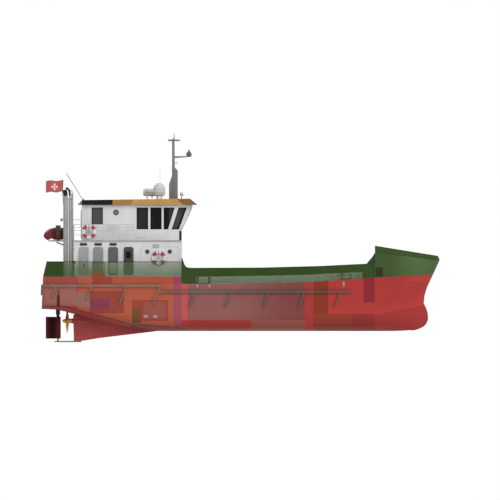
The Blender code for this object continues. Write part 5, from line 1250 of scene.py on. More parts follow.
for name, side in SIDES:
    wall = on_wall(side, HOUSE_HALF)
    face = on_wall(side, DOOR_FACE)
    frames = bmesh.new()
    for key, aft, forward in DOORS:
        outer = rounded((aft - 0.045, forward + 0.075), (DOOR_H[0] - 0.045, DOOR_H[1] + 0.045), 0.18)
        inner = rounded((aft - 0.015, forward + 0.045), (DOOR_H[0] - 0.015, DOOR_H[1] + 0.015), 0.16)
        add_frame(frames, wall, outer, inner, -0.004, 0.022)
        gear = bmesh.new()
        add_door_gear(gear, face, aft, forward)
        put("door_gear_%s_%s" % (key, name), gear, "door_" + key, "door_%s_%s" % (key, name), 0.003)
    put("door_frames_" + name, frames, "white", edge=0.004)
    kick = bmesh.new()
    key, aft, forward = DOORS[2]
    add_pane(kick, face, rounded((aft + 0.02, forward - 0.02), KICK_H, 0.05), -0.002, 0.006)
    put("kick_plate_" + name, kick, "kick", "door_%s_%s" % (key, name))
    pane = bmesh.new()
    aft = DOORS[-1][1]
    hole = rounded((aft + DOOR_PANE_X[0], aft + DOOR_PANE_X[1]), DOOR_PANE_H, 0.05)
    add_pane(pane, face, grown(hole, 0.012), -0.030, -0.015)
    put("door_pane_" + name, pane, "dark_glass", "door_forward_" + name)
    gasket = bmesh.new()
    add_frame(gasket, face, grown(hole, 0.022), hole, -0.012, 0.008)
    put("door_pane_gasket_" + name, gasket, "gasket", "door_forward_" + name)
    vents = bmesh.new()
    for aft, forward in LOUVRES:
        hole = rounded((aft, forward), LOUVRE_H, 0.02)
        add_frame(vents, wall, grown(hole, 0.018), hole, -0.004, 0.030)
        for h in even(LOUVRE_H[0] + 0.02, LOUVRE_H[1] - 0.035, 4):
            blade = ((aft, h), (forward, h), (forward, h + 0.014), (aft, h + 0.014))
            add_pane(vents, lambda a, b, out: wall(a, b - out * 0.8, out), blade, 0.0, 0.026)
    put("louvres_" + name, vents, "louvre")
print("doors:", 2 * len(DOORS))

# %% [markdown]
# Small things on and beside the house: round ports, blank plates where a yard's name would be, a
# bolted access panel over the engine room, an extinguisher inside the bulwark, rain pipes, and a storm
# rail to hold on to. The plate stays blank on purpose.
# %% House fittings
PORTS = ((-6.22, 5.13), (-4.77, 5.13))
PORT_R = 0.11
BLANK_PLATE = rounded((-5.89, -5.46), (5.36, 5.61), 0.02)
ACCESS_PANEL = rounded((-6.67, -4.12), (3.72, 5.45), 0.22)
BOARD_X = (-9.79, -8.97)
BOARD_H = (3.86, 4.46)
BOARD_Y = (3.61, 3.655)
BOTTLE_XY = (-10.325, 3.615)
BOTTLE_H = (4.04, 4.41)

for name, side in SIDES:
    wall = on_wall(side, HOUSE_HALF)
    rims = bmesh.new()
    panes = bmesh.new()
    for x, h in PORTS:
        add_frame(rims, wall, circle((x, h), PORT_R + 0.035), circle((x, h), PORT_R), -0.004, 0.022)
        add_pane(panes, wall, circle((x, h), PORT_R + 0.01), -0.03, -0.015)
        for turn in range(6):
            angle = math.radians(60 * turn + 30)
            spot = wall(x + 0.128 * math.cos(angle), h + 0.128 * math.sin(angle), 0.020)
            add_bolt(rims, spot, (0, side, 0), 0.008, 0.008)
    put("port_rims_" + name, rims, "port_rim", edge=0.003)
    put("port_panes_" + name, panes, "port_glass")
    plate = bmesh.new()
    add_pane(plate, wall, BLANK_PLATE, -0.002, 0.012)
    put("blank_plate_" + name, plate, "plate", edge=0.003)
    panel = bmesh.new()
    add_frame(panel, wall, ACCESS_PANEL, grown(ACCESS_PANEL, -0.022), -0.002, 0.007)
    for a, b in grown(ACCESS_PANEL, -0.055)[::2]:
        add_bolt(panel, wall(a, b, 0.0), (0, side, 0), 0.012, 0.008)
    put("access_panel_" + name, panel, "panel_line")
    if side < 0:
        boards = bmesh.new()
        for x in even(BOARD_X[0] + 0.04, BOARD_X[1] - 0.04, 8):
            add_box(boards, (x - 0.032, x + 0.032), (-BOARD_Y[1], -BOARD_Y[0] - 0.015), (up(BOARD_H[0]), up(BOARD_H[1])))
        for h in (3.93, 4.38):
            add_box(boards, BOARD_X, (-BOARD_Y[0] - 0.018, -BOARD_Y[0]), (up(h), up(h) + 0.05))
        put("locker_boards", boards, "board", edge=0.004)
    x, y = BOTTLE_XY
    bottle = bmesh.new()
    add_turned(bottle, (x, side * y, up(BOTTLE_H[0])), (0, 0, 1), (
        (0.0, 0.045), (0.012, 0.056), (0.27, 0.056), (0.31, 0.040), (0.33, 0.018), (0.35, 0.018),
    ), 18)
    put("extinguisher_" + name, bottle, "orange_bottle")
    valve = bmesh.new()
    add_turned(valve, (x, side * y, up(BOTTLE_H[0]) + 0.345), (0, 0, 1), ((0.0, 0.022), (0.03, 0.022), (0.04, 0.01)), 10)
    add_bar(valve, [(x, side * y, up(4.40)), (x + 0.06, side * y, up(4.42)), (x + 0.07, side * y, up(4.30)),
                    (x + 0.065, side * y, up(4.12))], 0.008, 8)
    for h in (4.12, 4.30):
        add_box(valve, (x - 0.062, x + 0.062), sorted((side * (y - 0.06), side * (y + 0.11))), (up(h), up(h + 0.02)))
    put("extinguisher_bracket_" + name, valve, "black")
    pipes = bmesh.new()
    for x, y in ((-10.98, 2.78), (-4.005, 2.78)):
        add_bar(pipes, [(x, side * y, up(5.80)), (x, side * y, up(3.60 if x < -9 else 3.56))], 0.028, 10)
        for h in (4.2, 5.2):
            add_box(pipes, (x - 0.034, x + 0.034), sorted((side * (y - 0.045), side * (y + 0.045))), (up(h), up(h + 0.03)))
    put("rain_pipes_" + name, pipes, "white")

storm = bmesh.new()
front = across_wall(-4.04, 1)
add_bar(storm, [front(-1.9, 4.60, 0.07), front(1.7, 4.60, 0.07)], 0.017, 10)
for y in even(-1.9, 1.7, 5):
    add_bar(storm, [front(y, 4.60, -0.005), front(y, 4.60, 0.07)], 0.010, 8)
put("storm_rail_front", storm, "steel")

ladder = bmesh.new()
back = across_wall(-10.94, -1)
for y in (1.75, 2.15):
    add_bar(ladder, [back(y, 3.62, 0.12), back(y, 5.72, 0.12)], 0.018, 10)
    for h in (3.9, 5.6):
        add_bar(ladder, [back(y, h, -0.01), back(y, h, 0.12)], 0.014, 8)
for h in even(3.80, 5.62, 7):
    add_bar(ladder, [back(1.75, h, 0.12), back(2.15, h, 0.12)], 0.012, 8)
put("aft_ladder", ladder, "steel")
print("house fittings placed")

# %% [markdown]
# Lifebuoys: a hard ring with four red quarters at the diagonals, a grab line that hangs in four
# loops, and a forked bracket that carries it. The red is worked out from the angle round the ring's
# middle, so the same finish serves the buoys of both sides.
# %% Lifebuoys
BUOYS = (("rail", -9.99, 6.42, 3.04), ("house", -5.49, 4.71, 2.96))
BUOY_REACH = 0.475


def buoy_paint(name, x, z):
    """White with a red quarter on each diagonal."""
    finish = Finish(name, (0.66, 0.64, 0.63), 0.55)
    along = finish.math("SUBTRACT", finish.axis("X"), x)
    rise = finish.math("SUBTRACT", finish.axis("Z"), z)
    angle = finish.math("ARCTAN2", rise, along)
    wave = finish.math("ABSOLUTE", finish.math("SINE", finish.math("MULTIPLY", angle, 2.0)))
    red = finish.ramp(wave, 0.70, 0.76)
    white_part = finish.clouded((0.66, 0.64, 0.63), 0.04, 4.0)
    red_part = finish.clouded((0.42, 0.060, 0.065), 0.10, 9.0)
    finish.paint(finish.mix(red, white_part, red_part))
    finish.dull()
    finish.bump(finish.noise(60.0, 2.0), 0.0015, 0.4)
    return finish.material


for key, x, h, y in BUOYS:
    paints["buoy_" + key] = buoy_paint("lifebuoy_" + key, x, up(h))
    for name, side in SIDES:
        dress("lifebuoy_%s_%s" % (key, name), "buoy_" + key, 0.0, 60.0, 0.0)
        low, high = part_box("lifebuoy_%s_%s" % (key, name))
        middle = (low.y + high.y) / 2
        outer = (high.x - low.x) / 2
        line = bmesh.new()
        path = []
        for i in range(64):
            turn = 2 * math.pi * i / 64
            sag = outer - 0.02 + 0.028 * abs(math.sin(2 * turn))
            path.append((x + sag * math.cos(turn), middle, up(h) + sag * math.sin(turn)))
        add_bar(line, path, 0.009, 6, closed=True)
        put("buoy_line_%s_%s" % (key, name), line, "grab_line")
        fork = bmesh.new()
        back = high.y + 0.012 if side > 0 else low.y - 0.012
        add_bar(fork, [(x, back, up(h) + 0.50), (x, back, up(h) + 0.02)], 0.018, 8)
        for way in (-1, 1):
            hook = (x + way * 0.27, back + side * 0.09, up(h) - 0.26)
            add_bar(fork, [(x, back, up(h) + 0.03), (x + way * 0.27, back, up(h) - 0.22), hook], 0.018, 8)
        put("buoy_fork_%s_%s" % (key, name), fork, "fork")
print("lifebuoys:", 2 * len(BUOYS))

# %% [markdown]
# The wheelhouse windows are clamped between a rubber gasket and a slim steel frame. The side wall is
# upright, its corners are cut off at an angle and lean outwards, and the front leans too, so each wall
# gets its own place function. All of them use the same outlines as the openings behind.
# %% Wheelhouse windows
WHEELHOUSE_HALF = 2.25
SIDE_WINDOWS = (
    ((-9.80, 6.92), (-9.12, 6.92), (-9.12, 7.96), (-9.80, 7.96)),
    ((-6.89, 6.60), (-6.19, 6.60), (-6.19, 7.96), (-6.89, 7.96)),
    ((-6.00, 6.60), (-5.32, 6.60), (-5.32, 7.96), (-6.00, 7.96)),
    ((-5.14, 6.60), (-4.90, 6.60), (-4.48, 7.96), (-5.14, 7.96)),
)
CORNER_WINDOW = ((-4.62, 6.60), (-4.20, 6.60), (-3.71, 7.96), (-4.18, 7.96))
ROUND_WINDOW = ((-8.25, 7.67), 0.16)
FRONT_WINDOWS = ((-1.10, -0.42), (-0.33, 0.33), (0.42, 1.10))
AFT_WINDOWS = ((-1.75, -0.75), (0.75, 1.75))
SILL_H = 6.46
CORNER_SLOPE = 1.096
CORNER_LEAN = 0.3245
FRONT_LEAN = 0.4425


def on_corner(side):
    """Cut corner of the wheelhouse: it leans forward with the height."""
    def place(a, b, out):
        start = -4.75 + CORNER_LEAN * (b - SILL_H)
        y = WHEELHOUSE_HALF - CORNER_SLOPE * (a - start)
        return (a + out * 0.70, side * (y + out * 0.64), up(b) - out * 0.22)
    return place


def on_front(a, b, out):
    return (-4.02 + FRONT_LEAN * (b - SILL_H) + out, a, up(b))


def square(x, h):
    return ((x[0], h[0]), (x[1], h[0]), (x[1], h[1]), (x[0], h[1]))


def add_window(frames, gaskets, place, outline):
    add_frame(frames, place, grown(outline, 0.055), grown(outline, 0.026), -0.006, 0.012)
    add_frame(gaskets, place, grown(outline, 0.028), grown(outline, -0.014), -0.050, 0.008)


for name, side in SIDES:
    frames = bmesh.new()
    gaskets = bmesh.new()
    wall = on_wall(side, WHEELHOUSE_HALF)
    for outline in SIDE_WINDOWS:
        add_window(frames, gaskets, wall, outline)
    add_window(frames, gaskets, wall, circle(*ROUND_WINDOW))
    add_window(frames, gaskets, on_corner(side), CORNER_WINDOW)
    put("window_frames_" + name, frames, "white", edge=0.003)
    put("window_gaskets_" + name, gaskets, "gasket")
frames = bmesh.new()
gaskets = bmesh.new()
for y in FRONT_WINDOWS:
    add_window(frames, gaskets, on_front, square(y, (6.60, 7.96)))
# The aft door slides close along its wall, so the panes there sit in a gasket inside the opening
for y in AFT_WINDOWS:
    outline = square(y, (6.92, 7.96))
    add_frame(gaskets, lambda a, b, out: (-10.47 - out, -a, up(b)), outline, grown(outline, -0.02), -0.050, -0.002)
put("window_frames_ends", frames, "white", edge=0.003)
put("window_gaskets_ends", gaskets, "gasket")

wipers = bmesh.new()
for y in FRONT_WINDOWS:
    middle = (y[0] + y[1]) / 2
    tip = on_front(middle + 0.16, 7.30, 0.03)
    add_bar(wipers, [on_front(middle, 8.03, -0.01), on_front(middle, 8.03, 0.03), tip], 0.008, 6)
    add_bar(wipers, [on_front(middle + 0.15, 7.60, 0.022), on_front(middle + 0.19, 7.02, 0.022)], 0.007, 6)
put("wipers", wipers, "black")
print("windows framed")

# %% [markdown]
# Round the wheelhouse: hand rails at the leaning front corners, a dark corner guard, shallow boxes for
# ventilation and hoses on the side, and a rain gutter under the roof's edge.
# %% Wheelhouse fittings
VENT_BOX = rounded((-8.76, -8.01), (6.50, 6.88), 0.03)
HOSE_BOX = rounded((-6.95, -6.31), (6.03, 6.50), 0.03)

for name, side in SIDES:
    wall = on_wall(side, WHEELHOUSE_HALF)
    boxes = bmesh.new()
    add_pane(boxes, wall, VENT_BOX, -0.002, 0.035)
    add_pane(boxes, wall, HOSE_BOX, -0.002, 0.05)
    for h in even(6.55, 6.83, 6):
        add_pane(boxes, wall, ((-8.70, h), (-8.07, h), (-8.07, h + 0.018), (-8.70, h + 0.018)), 0.03, 0.045)
    for x in (-6.90, -6.36):
        add_bolt(boxes, wall(x, 6.27, 0.05), (0, side, 0), 0.012, 0.010)
    put("side_boxes_" + name, boxes, "box_white", edge=0.006)
    guard = bmesh.new()
    plan = ((-4.165, 1.590), (-4.015, 1.42), (-3.998, 1.435), (-4.148, 1.615))
    add_prism(guard, [(x, side * y) for x, y in plan], "z", up(5.872), up(6.48))
    put("corner_guard_" + name, guard, "black", edge=0.004)
    grip = bmesh.new()
    corner = on_corner(side)
    path = [corner(-4.02 - 0.06, 6.56, 0.0), corner(-4.02 - 0.03, 6.60, 0.055)]
    path += [corner(-4.05 + FRONT_LEAN * (h - SILL_H), h, 0.055) for h in (6.9, 7.3, 7.7, 7.95)]
    path += [corner(-3.43, 8.04, 0.0)]
    add_bar(grip, path, 0.014, 8)
    put("corner_grip_" + name, grip, "steel")
    gutter = bmesh.new()
    add_strip(gutter, [wall(-10.45, 8.105, 0.015), wall(-4.28, 8.105, 0.015)], (0, 1, 0), 0.045, 0.022)
    put("gutter_" + name, gutter, "white")

aft_door = bmesh.new()
door_low, door_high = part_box("door_wheelhouse")
door_face = lambda a, b, out: (door_low.x - out, -a, up(b))
glass_hole = square((-0.16, 0.16), (7.10, 7.60))
add_frame(aft_door, door_face, grown(glass_hole, 0.03), glass_hole, -0.01, 0.010)
add_bar(aft_door, [door_face(-0.26, 6.75, 0.0), door_face(-0.26, 6.75, 0.035), door_face(-0.26, 7.0, 0.035),
                   door_face(-0.26, 7.0, 0.0)], 0.010, 8)
put("wheelhouse_door_gear", aft_door, "steel", "door_wheelhouse")
aft_pane = bmesh.new()
middle_x = (door_low.x + door_high.x) / 2
add_box(aft_pane, (middle_x - 0.006, middle_x + 0.006), (-0.165, 0.165), (up(7.095), up(7.605)))
put("wheelhouse_door_pane", aft_pane, "dark_glass", "door_wheelhouse")
print("wheelhouse fittings placed")

# %% [markdown]
# The solids hold the guard rails as square bars. Real ones are welded from round tube, so the whole
# rail is drawn again here as tube on the same lines, and it stands for the solid.
# %% Guard rails
RAIL_LEVELS = (6.22, 6.50, 6.69, 6.89)
RAIL_LOW, RAIL_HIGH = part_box("guard_rail")
RAIL_R = 0.019
SIDE_POSTS = 5
AFT_POSTS = 6
FOOT_H = 5.87


def make_guard_rail():
    bm = bmesh.new()
    aft = RAIL_LOW.x + 0.02
    forward = RAIL_HIGH.x - 0.02
    half = RAIL_HIGH.y - 0.02
    for h in RAIL_LEVELS:
        radius = RAIL_R * (1.25 if h == RAIL_LEVELS[-1] else 0.85)
        z = up(h) if h < RAIL_LEVELS[-1] else RAIL_HIGH.z - radius
        add_bar(bm, [(forward, -half, z), (aft + 0.05, -half, z), (aft, -half + 0.05, z),
                     (aft, half - 0.05, z), (aft + 0.05, half, z), (forward, half, z)], radius, 10)
    spots = [(x, side * half) for x in even(aft, forward, SIDE_POSTS)[1:] for name, side in SIDES]
    spots += [(aft, y) for y in even(-half, half, AFT_POSTS)[1:-1]]
    spots += [(aft + 0.02, side * (half - 0.02)) for name, side in SIDES]
    for x, y in spots:
        add_bar(bm, [(x, y, up(FOOT_H) - 0.002), (x, y, up(RAIL_LEVELS[-1]) - 0.01)], RAIL_R, 10)
        add_turned(bm, (x, y, up(FOOT_H)), (0, 0, 1), ((-0.002, 0.042), (0.012, 0.042), (0.016, 0.036)), 12)
    rail = put("guard_rail_tubes", bm, "rail")
    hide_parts("guard_rail")
    return len(spots)


print("rail posts:", make_guard_rail())

# %% [markdown]
# The exhaust stack: straps round the pipes, a sooty tip, a gooseneck on the thin vent pipe, a small
# lamp box on its after side and a brace to the wheelhouse.
# %% Exhaust stack
STACK_Y = -2.62
PIPES = ((-11.51, 0.150, 8.63), (-11.235, 0.058, 8.85), (-11.075, 0.070, 8.88))
STRAPS_H = (4.95, 6.30, 7.60, 8.40)

straps = bmesh.new()
for x, radius, top in PIPES:
    for h in STRAPS_H:
        add_turned(straps, (x, STACK_Y, up(h)), (0, 0, 1), (
            (0.0, radius - 0.004), (0.0, radius + 0.008), (0.05, radius + 0.008), (0.05, radius - 0.004),
        ), 24)
        add_bolt(straps, (x, STACK_Y - radius - 0.006, up(h) + 0.025), (0, -1, 0), 0.012, 0.014)
put("pipe_straps", straps, "steel")

neck = bmesh.new()
add_bar(neck, [(-11.075, STACK_Y, up(8.85)), (-11.075, STACK_Y, up(9.00)), (-11.10, STACK_Y, up(9.07)),
               (-11.16, STACK_Y, up(9.09)), (-11.20, STACK_Y, up(9.04)), (-11.205, STACK_Y, up(9.00))], 0.032, 12)
put("vent_gooseneck", neck, "steel")

cowl = bmesh.new()
bend = ((-11.235, 8.80), (-11.24, 8.98), (-11.29, 9.12), (-11.38, 9.21), (-11.50, 9.24))
add_bar(cowl, [(x, STACK_Y, up(h)) for x, h in bend], 0.068, 14)
put("exhaust_cowl", cowl, "soot", edge=0.004)

brace = bmesh.new()
brace_h = up(7.19)
brace_y = STACK_Y + 0.19
add_bar(brace, [(-11.72, brace_y, brace_h), (-10.90, brace_y, brace_h), (-10.44, -2.22, brace_h)], 0.022, 10)
put("stack_brace", brace, "steel")
lamp_box = bmesh.new()
add_prism(lamp_box, rounded((-11.84, -11.70), (up(7.09), up(7.29)), 0.03), "y", STACK_Y + 0.10, STACK_Y + 0.26)
put("stack_lamp_box", lamp_box, "mast", edge=0.008)

struts = bmesh.new()
for y in (-1.14, 1.14):
    add_bar(struts, [(-12.10, y, up(5.74)), (-10.93, y, up(5.28))], 0.040, 10)
    add_box(struts, (-10.96, -10.93), (y - 0.08, y + 0.08), (up(5.20), up(5.37)))
put("cradle_struts", struts, "gear")
print("stack fittings placed")

# %% [markdown]
# The rescue boat is an inflatable with a rigid bottom, stowed athwartships, so the side view looks at
# its transom. Rubbing strakes, a grab line, cones on the tube ends, a seat and the straps that lash it
# down are added to its tubes. The engine gets its hood seam, tiller, clamp screws and lower leg.
# %% Rescue boat
RIB_X = -11.99
RIB_TUBE_R = 0.26
RIB_HALF = 0.655
RIB_TUBE_H = 6.16
RIB_STERN_Y = -1.85
RIB_TURN_Y = 0.95
RIB_BOW_REACH = 0.75
RIB_BOW_RISE = 0.29


def tube_path(out, rise, steps=14):
    """Line along the tubes at one distance outside their centres, and one height over them."""
    path = [(RIB_X - RIB_HALF - out, RIB_STERN_Y + 0.05, up(RIB_TUBE_H) + rise)]
    for i in range(steps + 1):
        turn = math.pi * (1 - i / steps)
        bow = math.sin(turn)
        path.append((
            RIB_X + (RIB_HALF + out) * math.cos(turn), RIB_TURN_Y + (RIB_BOW_REACH + out) * bow,
            up(RIB_TUBE_H) + RIB_BOW_RISE * bow + rise,
        ))
    return path + [(RIB_X + RIB_HALF + out, RIB_STERN_Y + 0.05, up(RIB_TUBE_H) + rise)]


strake = bmesh.new()
add_bar(strake, tube_path(RIB_TUBE_R - 0.012, -0.02), 0.022, 8)
add_bar(strake, tube_path(RIB_TUBE_R - 0.032, 0.10), 0.010, 6)
put("rib_strakes", strake, "black")
grab = bmesh.new()
loops = []
line = tube_path(0.155, 0.205, 24)
for i, point in enumerate(line):
    drop = 0.02 * (i % 2)
    loops.append((point[0], point[1], point[2] + drop))
add_bar(grab, loops, 0.008, 6)
put("rib_grab_line", grab, "grab_line")
# The cones and bands take the brighter red, a painted highlight on the tubes
cones = bmesh.new()
for side in (-1, 1):
    spot = (RIB_X + side * RIB_HALF, RIB_STERN_Y + 0.02, up(RIB_TUBE_H))
    cone = ((-0.01, 0.262), (0.02, 0.262), (0.05, 0.235), (0.075, 0.15), (0.08, 0.05))
    add_turned(cones, spot, (0, -1, 0), cone, 20)
    for across in (-0.5, 0.0, 0.75):
        centre = (spot[0], across - 0.6, spot[2])
        add_turned(cones, centre, (0, 1, 0), ((0.0, 0.258), (0.0, 0.268), (0.07, 0.268), (0.07, 0.258)), 20)
put("rib_cones_and_bands", cones, "tube_painted_highlight", edge=0.004)
seat = bmesh.new()
add_prism(seat, rounded((RIB_X - 0.26, RIB_X + 0.26), (up(6.20), up(6.46)), 0.04), "y", -0.75, -0.20)
put("rib_seat", seat, "black", edge=0.012)
floor = bmesh.new()
add_box(floor, (RIB_X - 0.42, RIB_X + 0.42), (RIB_STERN_Y + 0.20, 1.05), (up(6.10), up(6.12)))
put("rib_floor", floor, "boat_deck")
lashing = bmesh.new()
for y in (-1.14, 1.00):
    wire = [(RIB_X - 0.66, y, up(5.86)), (RIB_X - 0.94, y, up(6.10)), (RIB_X - 0.89, y, up(6.35))]
    wire += [(RIB_X - 0.66, y, up(6.45)), (RIB_X, y, up(6.46))]
    wire += [(2 * RIB_X - x, y, z) for x, y, z in wire[-2::-1]]
    add_bar(lashing, wire, 0.010, 8)
put("rib_lashing_wires", lashing, "rope")

hood = bmesh.new()
engine_low, engine_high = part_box("outboard_engine")
middle = (engine_low.x + engine_high.x) / 2
hood_side = rounded((engine_low.y + 0.015, -1.80), (up(6.55), up(6.83)), 0.07)
add_prism(hood, hood_side, "x", engine_low.x - 0.02, engine_high.x + 0.02)
put("engine_hood", hood, "cowl", edge=0.03)
band = bmesh.new()
band_side = rounded((engine_low.y + 0.01, -1.79), (up(6.565), up(6.59)), 0.008)
add_prism(band, band_side, "x", engine_low.x - 0.026, engine_high.x + 0.026)
add_bar(band, [(middle, -1.80, up(6.50)), (middle, -1.52, up(6.52)), (middle, -1.38, up(6.56))], 0.020, 10)
add_bar(band, [(middle, -1.44, up(6.54)), (middle, -1.30, up(6.585))], 0.026, 10)
for way in (-0.08, 0.08):
    screw = ((-0.01, 0.012), (0.09, 0.012), (0.09, 0.026), (0.11, 0.026))
    add_turned(band, (middle + way, -1.67, up(6.36)), (0, 1, 0), screw, 10)
put("engine_band_and_tiller", band, "mast")
print("rescue boat fitted out")

# %% [markdown]
# The ensign flies in a light wind from its staff: a woven cloth with hems, a white border and a plain
# flared cross. The ripples start flat at the hoist and grow towards the fly, as they do on a real
# flag, and the cloth's cut size is a little longer than the space that it fills.
# %% Ensign
HOIST = ((-11.7234, 9.02), (-11.6854, 9.72))
FLY = ((-12.77, 8.98), (-12.76, 9.70))
FLAG_LIFT = 0.028
FLAG_WAVE_LONG = 0.72
FLAG_COLUMNS = 48
FLAG_ROWS = 24
FLAG_WAVE = 0.062


def flag_spot(along, rise):
    """Place on the flag: along from hoist to fly, rise from its lower to its upper edge."""
    low = Vector(HOIST[0]).lerp(Vector(FLY[0]), along)
    high = Vector(HOIST[1]).lerp(Vector(FLY[1]), along)
    spot = low.lerp(high, rise)
    ripple = FLAG_WAVE * along ** 0.7 * math.sin(2 * math.pi * (1.35 * along - 0.22 * rise))
    lift = FLAG_LIFT * math.cos(2 * math.pi * along / FLAG_WAVE_LONG)
    return (spot.x, STACK_Y + ripple, up(spot.y) + lift)


def flag_cloth():
    """Woven bunting, its border and cross drawn from the place on the flag."""
    finish = Finish("ensign_bunting", (0.5, 0.1, 0.1), 0.8)
    red = finish.clouded((0.46, 0.098, 0.092), 0.10, 5.0)
    white = (0.70, 0.66, 0.65)
    middle = (-12.225, up(9.325))
    along = finish.math("SUBTRACT", finish.axis("X"), middle[0])
    rise = finish.math("SUBTRACT", finish.axis("Z"), middle[1])
    # Flared arms: one coordinate is longer than the other by a factor, and both are near the middle
    wide = finish.math("ABSOLUTE", along)
    tall = finish.math("ABSOLUTE", rise)
    level_arm = finish.math("LESS_THAN", tall, finish.math("MULTIPLY", wide, 0.42))
    level_arm = finish.math("MULTIPLY", level_arm, finish.math("LESS_THAN", wide, 0.20))
    upright_arm = finish.math("LESS_THAN", wide, finish.math("MULTIPLY", tall, 0.42))
    upright_arm = finish.math("MULTIPLY", upright_arm, finish.math("LESS_THAN", tall, 0.20))
    cross = finish.math("MAXIMUM", level_arm, upright_arm)
    finish.paint(finish.mix(cross, red, white))
    finish.shader.inputs["Sheen Weight"].default_value = 0.2
    weave = finish.add("ShaderNodeTexChecker")
    finish.feed(weave.inputs["Vector"], finish.place)
    weave.inputs["Scale"].default_value = 260.0
    finish.bump(weave.outputs["Fac"], 0.0006, 0.5)
    return finish.material


def make_ensign():
    bm = bmesh.new()
    grid = [[bm.verts.new(flag_spot(i / FLAG_COLUMNS, j / FLAG_ROWS)) for j in range(FLAG_ROWS + 1)]
            for i in range(FLAG_COLUMNS + 1)]
    for i in range(FLAG_COLUMNS):
        for j in range(FLAG_ROWS):
            bm.faces.new((grid[i][j], grid[i + 1][j], grid[i + 1][j + 1], grid[i][j + 1]))
    area = sum(face.calc_area() for face in bm.faces)
    flag = put("ensign_cloth", bm, "flag", sharp=80.0)
    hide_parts("ensign")
    hem = bmesh.new()
    for rise in (0.0, 1.0):
        add_strip(hem, [flag_spot(i / 40, rise) for i in range(41)], (0, 0, 1), 0.036, 0.004)
    add_strip(hem, [flag_spot(1.0, j / 12) for j in range(13)], (1, 0, 0), 0.036, 0.004)
    add_strip(hem, [flag_spot(0.0, j / 12) for j in range(13)], (1, 0, 0), 0.036, 0.004)
    border = put("ensign_hems", hem, "flag_hem", sharp=80.0)
    rings = bmesh.new()
    for rise in (0.03, 0.97):
        spot = Vector(flag_spot(0.0, rise))
        add_bar(rings, ring_points(spot, (0, 0, 1), 0.020, 12, (1, 0, 0)), 0.004, 6, closed=True)
    clips = put("ensign_clips", rings, "steel")
    return area


paints["flag"] = flag_cloth()
paints["flag_hem"] = plain_finish("ensign_border", (0.26, 0.085, 0.085), 0.8, 0.0, 0.05, 0.0005)
print("ensign area:", round(make_ensign(), 3))

# %% [markdown]
# The mast carries what must be seen or must see far: the masthead lamp on its arm, a horn, two small
# lamps, rungs to climb to them and a cable that runs down its after edge.
# %% Mast
MAST_FRONT = -4.25
MAST_BACK = -4.82
LAMP_X = -3.53
ARM_TOP_H = 11.315

rungs = bmesh.new()
for h in even(8.95, 10.20, 5):
    step = [(-4.46, 0.10), (-4.46, 0.27), (-4.62, 0.27), (-4.62, 0.10)]
    add_bar(rungs, [(x, y, up(h)) for x, y in step], 0.012, 8)
put("mast_rungs", rungs, "mast")
cable = bmesh.new()
run = ((0.158, 8.52), (0.158, 10.4), (0.105, 10.75), (0.100, 12.1))
add_bar(cable, [(-4.545, -y, up(h)) for y, h in run], 0.016, 8)
for h in even(8.8, 11.8, 9):
    y = -table_height([(level, y) for y, level in run], h)
    add_box(cable, (-4.58, -4.51), (y - 0.022, y + 0.03), (up(h), up(h) + 0.03))
put("mast_cable", cable, "mast")
horn = bmesh.new()
trumpet = ((0.0, 0.03), (0.10, 0.030), (0.15, 0.035), (0.21, 0.062), (0.215, 0.062), (0.18, 0.03))
add_turned(horn, (-4.49, 0.0, up(10.87)), (1, 0, 0), trumpet, 16)
put("horn", horn, "plastic")
lamps = bmesh.new()
lenses = bmesh.new()
for x, y, h in ((-4.54, -0.95, 12.385), (-4.54, 0.95, 12.385), (-4.54, -0.45, 12.385)):
    add_turned(lamps, (x, y, up(h)), (0, 0, 1), ((0.0, 0.035), (0.02, 0.045), (0.03, 0.045), (0.03, 0.030)), 14)
    add_turned(lenses, (x, y, up(h) + 0.03), (0, 0, 1), ((-0.005, 0.038), (0.07, 0.038)), 14)
    add_turned(lamps, (x, y, up(h) + 0.10), (0, 0, 1), ((-0.003, 0.045), (0.012, 0.045), (0.022, 0.02)), 14)
put("yard_lamps", lamps, "black")
put("yard_lenses", lenses, "lens")
head = bmesh.new()
for i in range(8):
    angle = 2 * math.pi * i / 8
    spot = (LAMP_X + 0.176 * math.cos(angle), 0.176 * math.sin(angle), up(ARM_TOP_H) + 0.02)
    add_bar(head, [spot, (spot[0], spot[1], spot[2] + 0.18)], 0.006, 6)
put("masthead_lamp_guard", head, "steel")
rod = bmesh.new()
add_bar(rod, [(-5.40, -0.20, up(8.50)), (-5.40, -0.20, up(10.54))], 0.011, 8)
add_turned(rod, (-5.40, -0.20, up(8.51)), (0, 0, 1), ((0.0, 0.05), (0.06, 0.05), (0.10, 0.02), (0.22, 0.018)), 12)
put("whip_antenna_thin", rod, "plastic")
print("mast fitted")

# %% [markdown]
# Life raft and satellite dome: a canister in two halves with a gasket between, held by straps and a
# release, and a dome whose base ring and seam show where it opens.
# %% Raft and dome
RAFT_Y = 0.90
RAFT_H = 8.97
DOME = (-5.45, -0.85)

raft = bmesh.new()
for y in (-0.252, 0.252):
    path = [(x, RAFT_Y + y, up(RAFT_H)) for x in (-6.40, -5.43)]
    add_strip(raft, path, (0, 1, 0), 0.02, 0.02)
for x in (-6.23, -5.60):
    ring = ring_points((x, RAFT_Y, up(RAFT_H)), (1, 0, 0), 0.255, 28, (0, 0, 1))
    add_bar(raft, ring, 0.010, 6, closed=True)
put("raft_gasket_and_bands", raft, "black")
release = bmesh.new()
add_prism(release, rounded((-5.97, -5.86), (up(8.62), up(8.74)), 0.02), "y", RAFT_Y - 0.34, RAFT_Y - 0.28)
add_bar(release, [(-5.915, RAFT_Y - 0.31, up(8.55)), (-5.915, RAFT_Y - 0.31, up(8.64))], 0.01, 6)
put("raft_release", release, "steel")
seam = bmesh.new()
x, y = DOME
for h, radius in ((8.95, 0.397), (9.18, 0.396)):
    add_bar(seam, ring_points((x, y, up(h)), (0, 0, 1), radius, 32, (1, 0, 0)), 0.008, 6, closed=True)
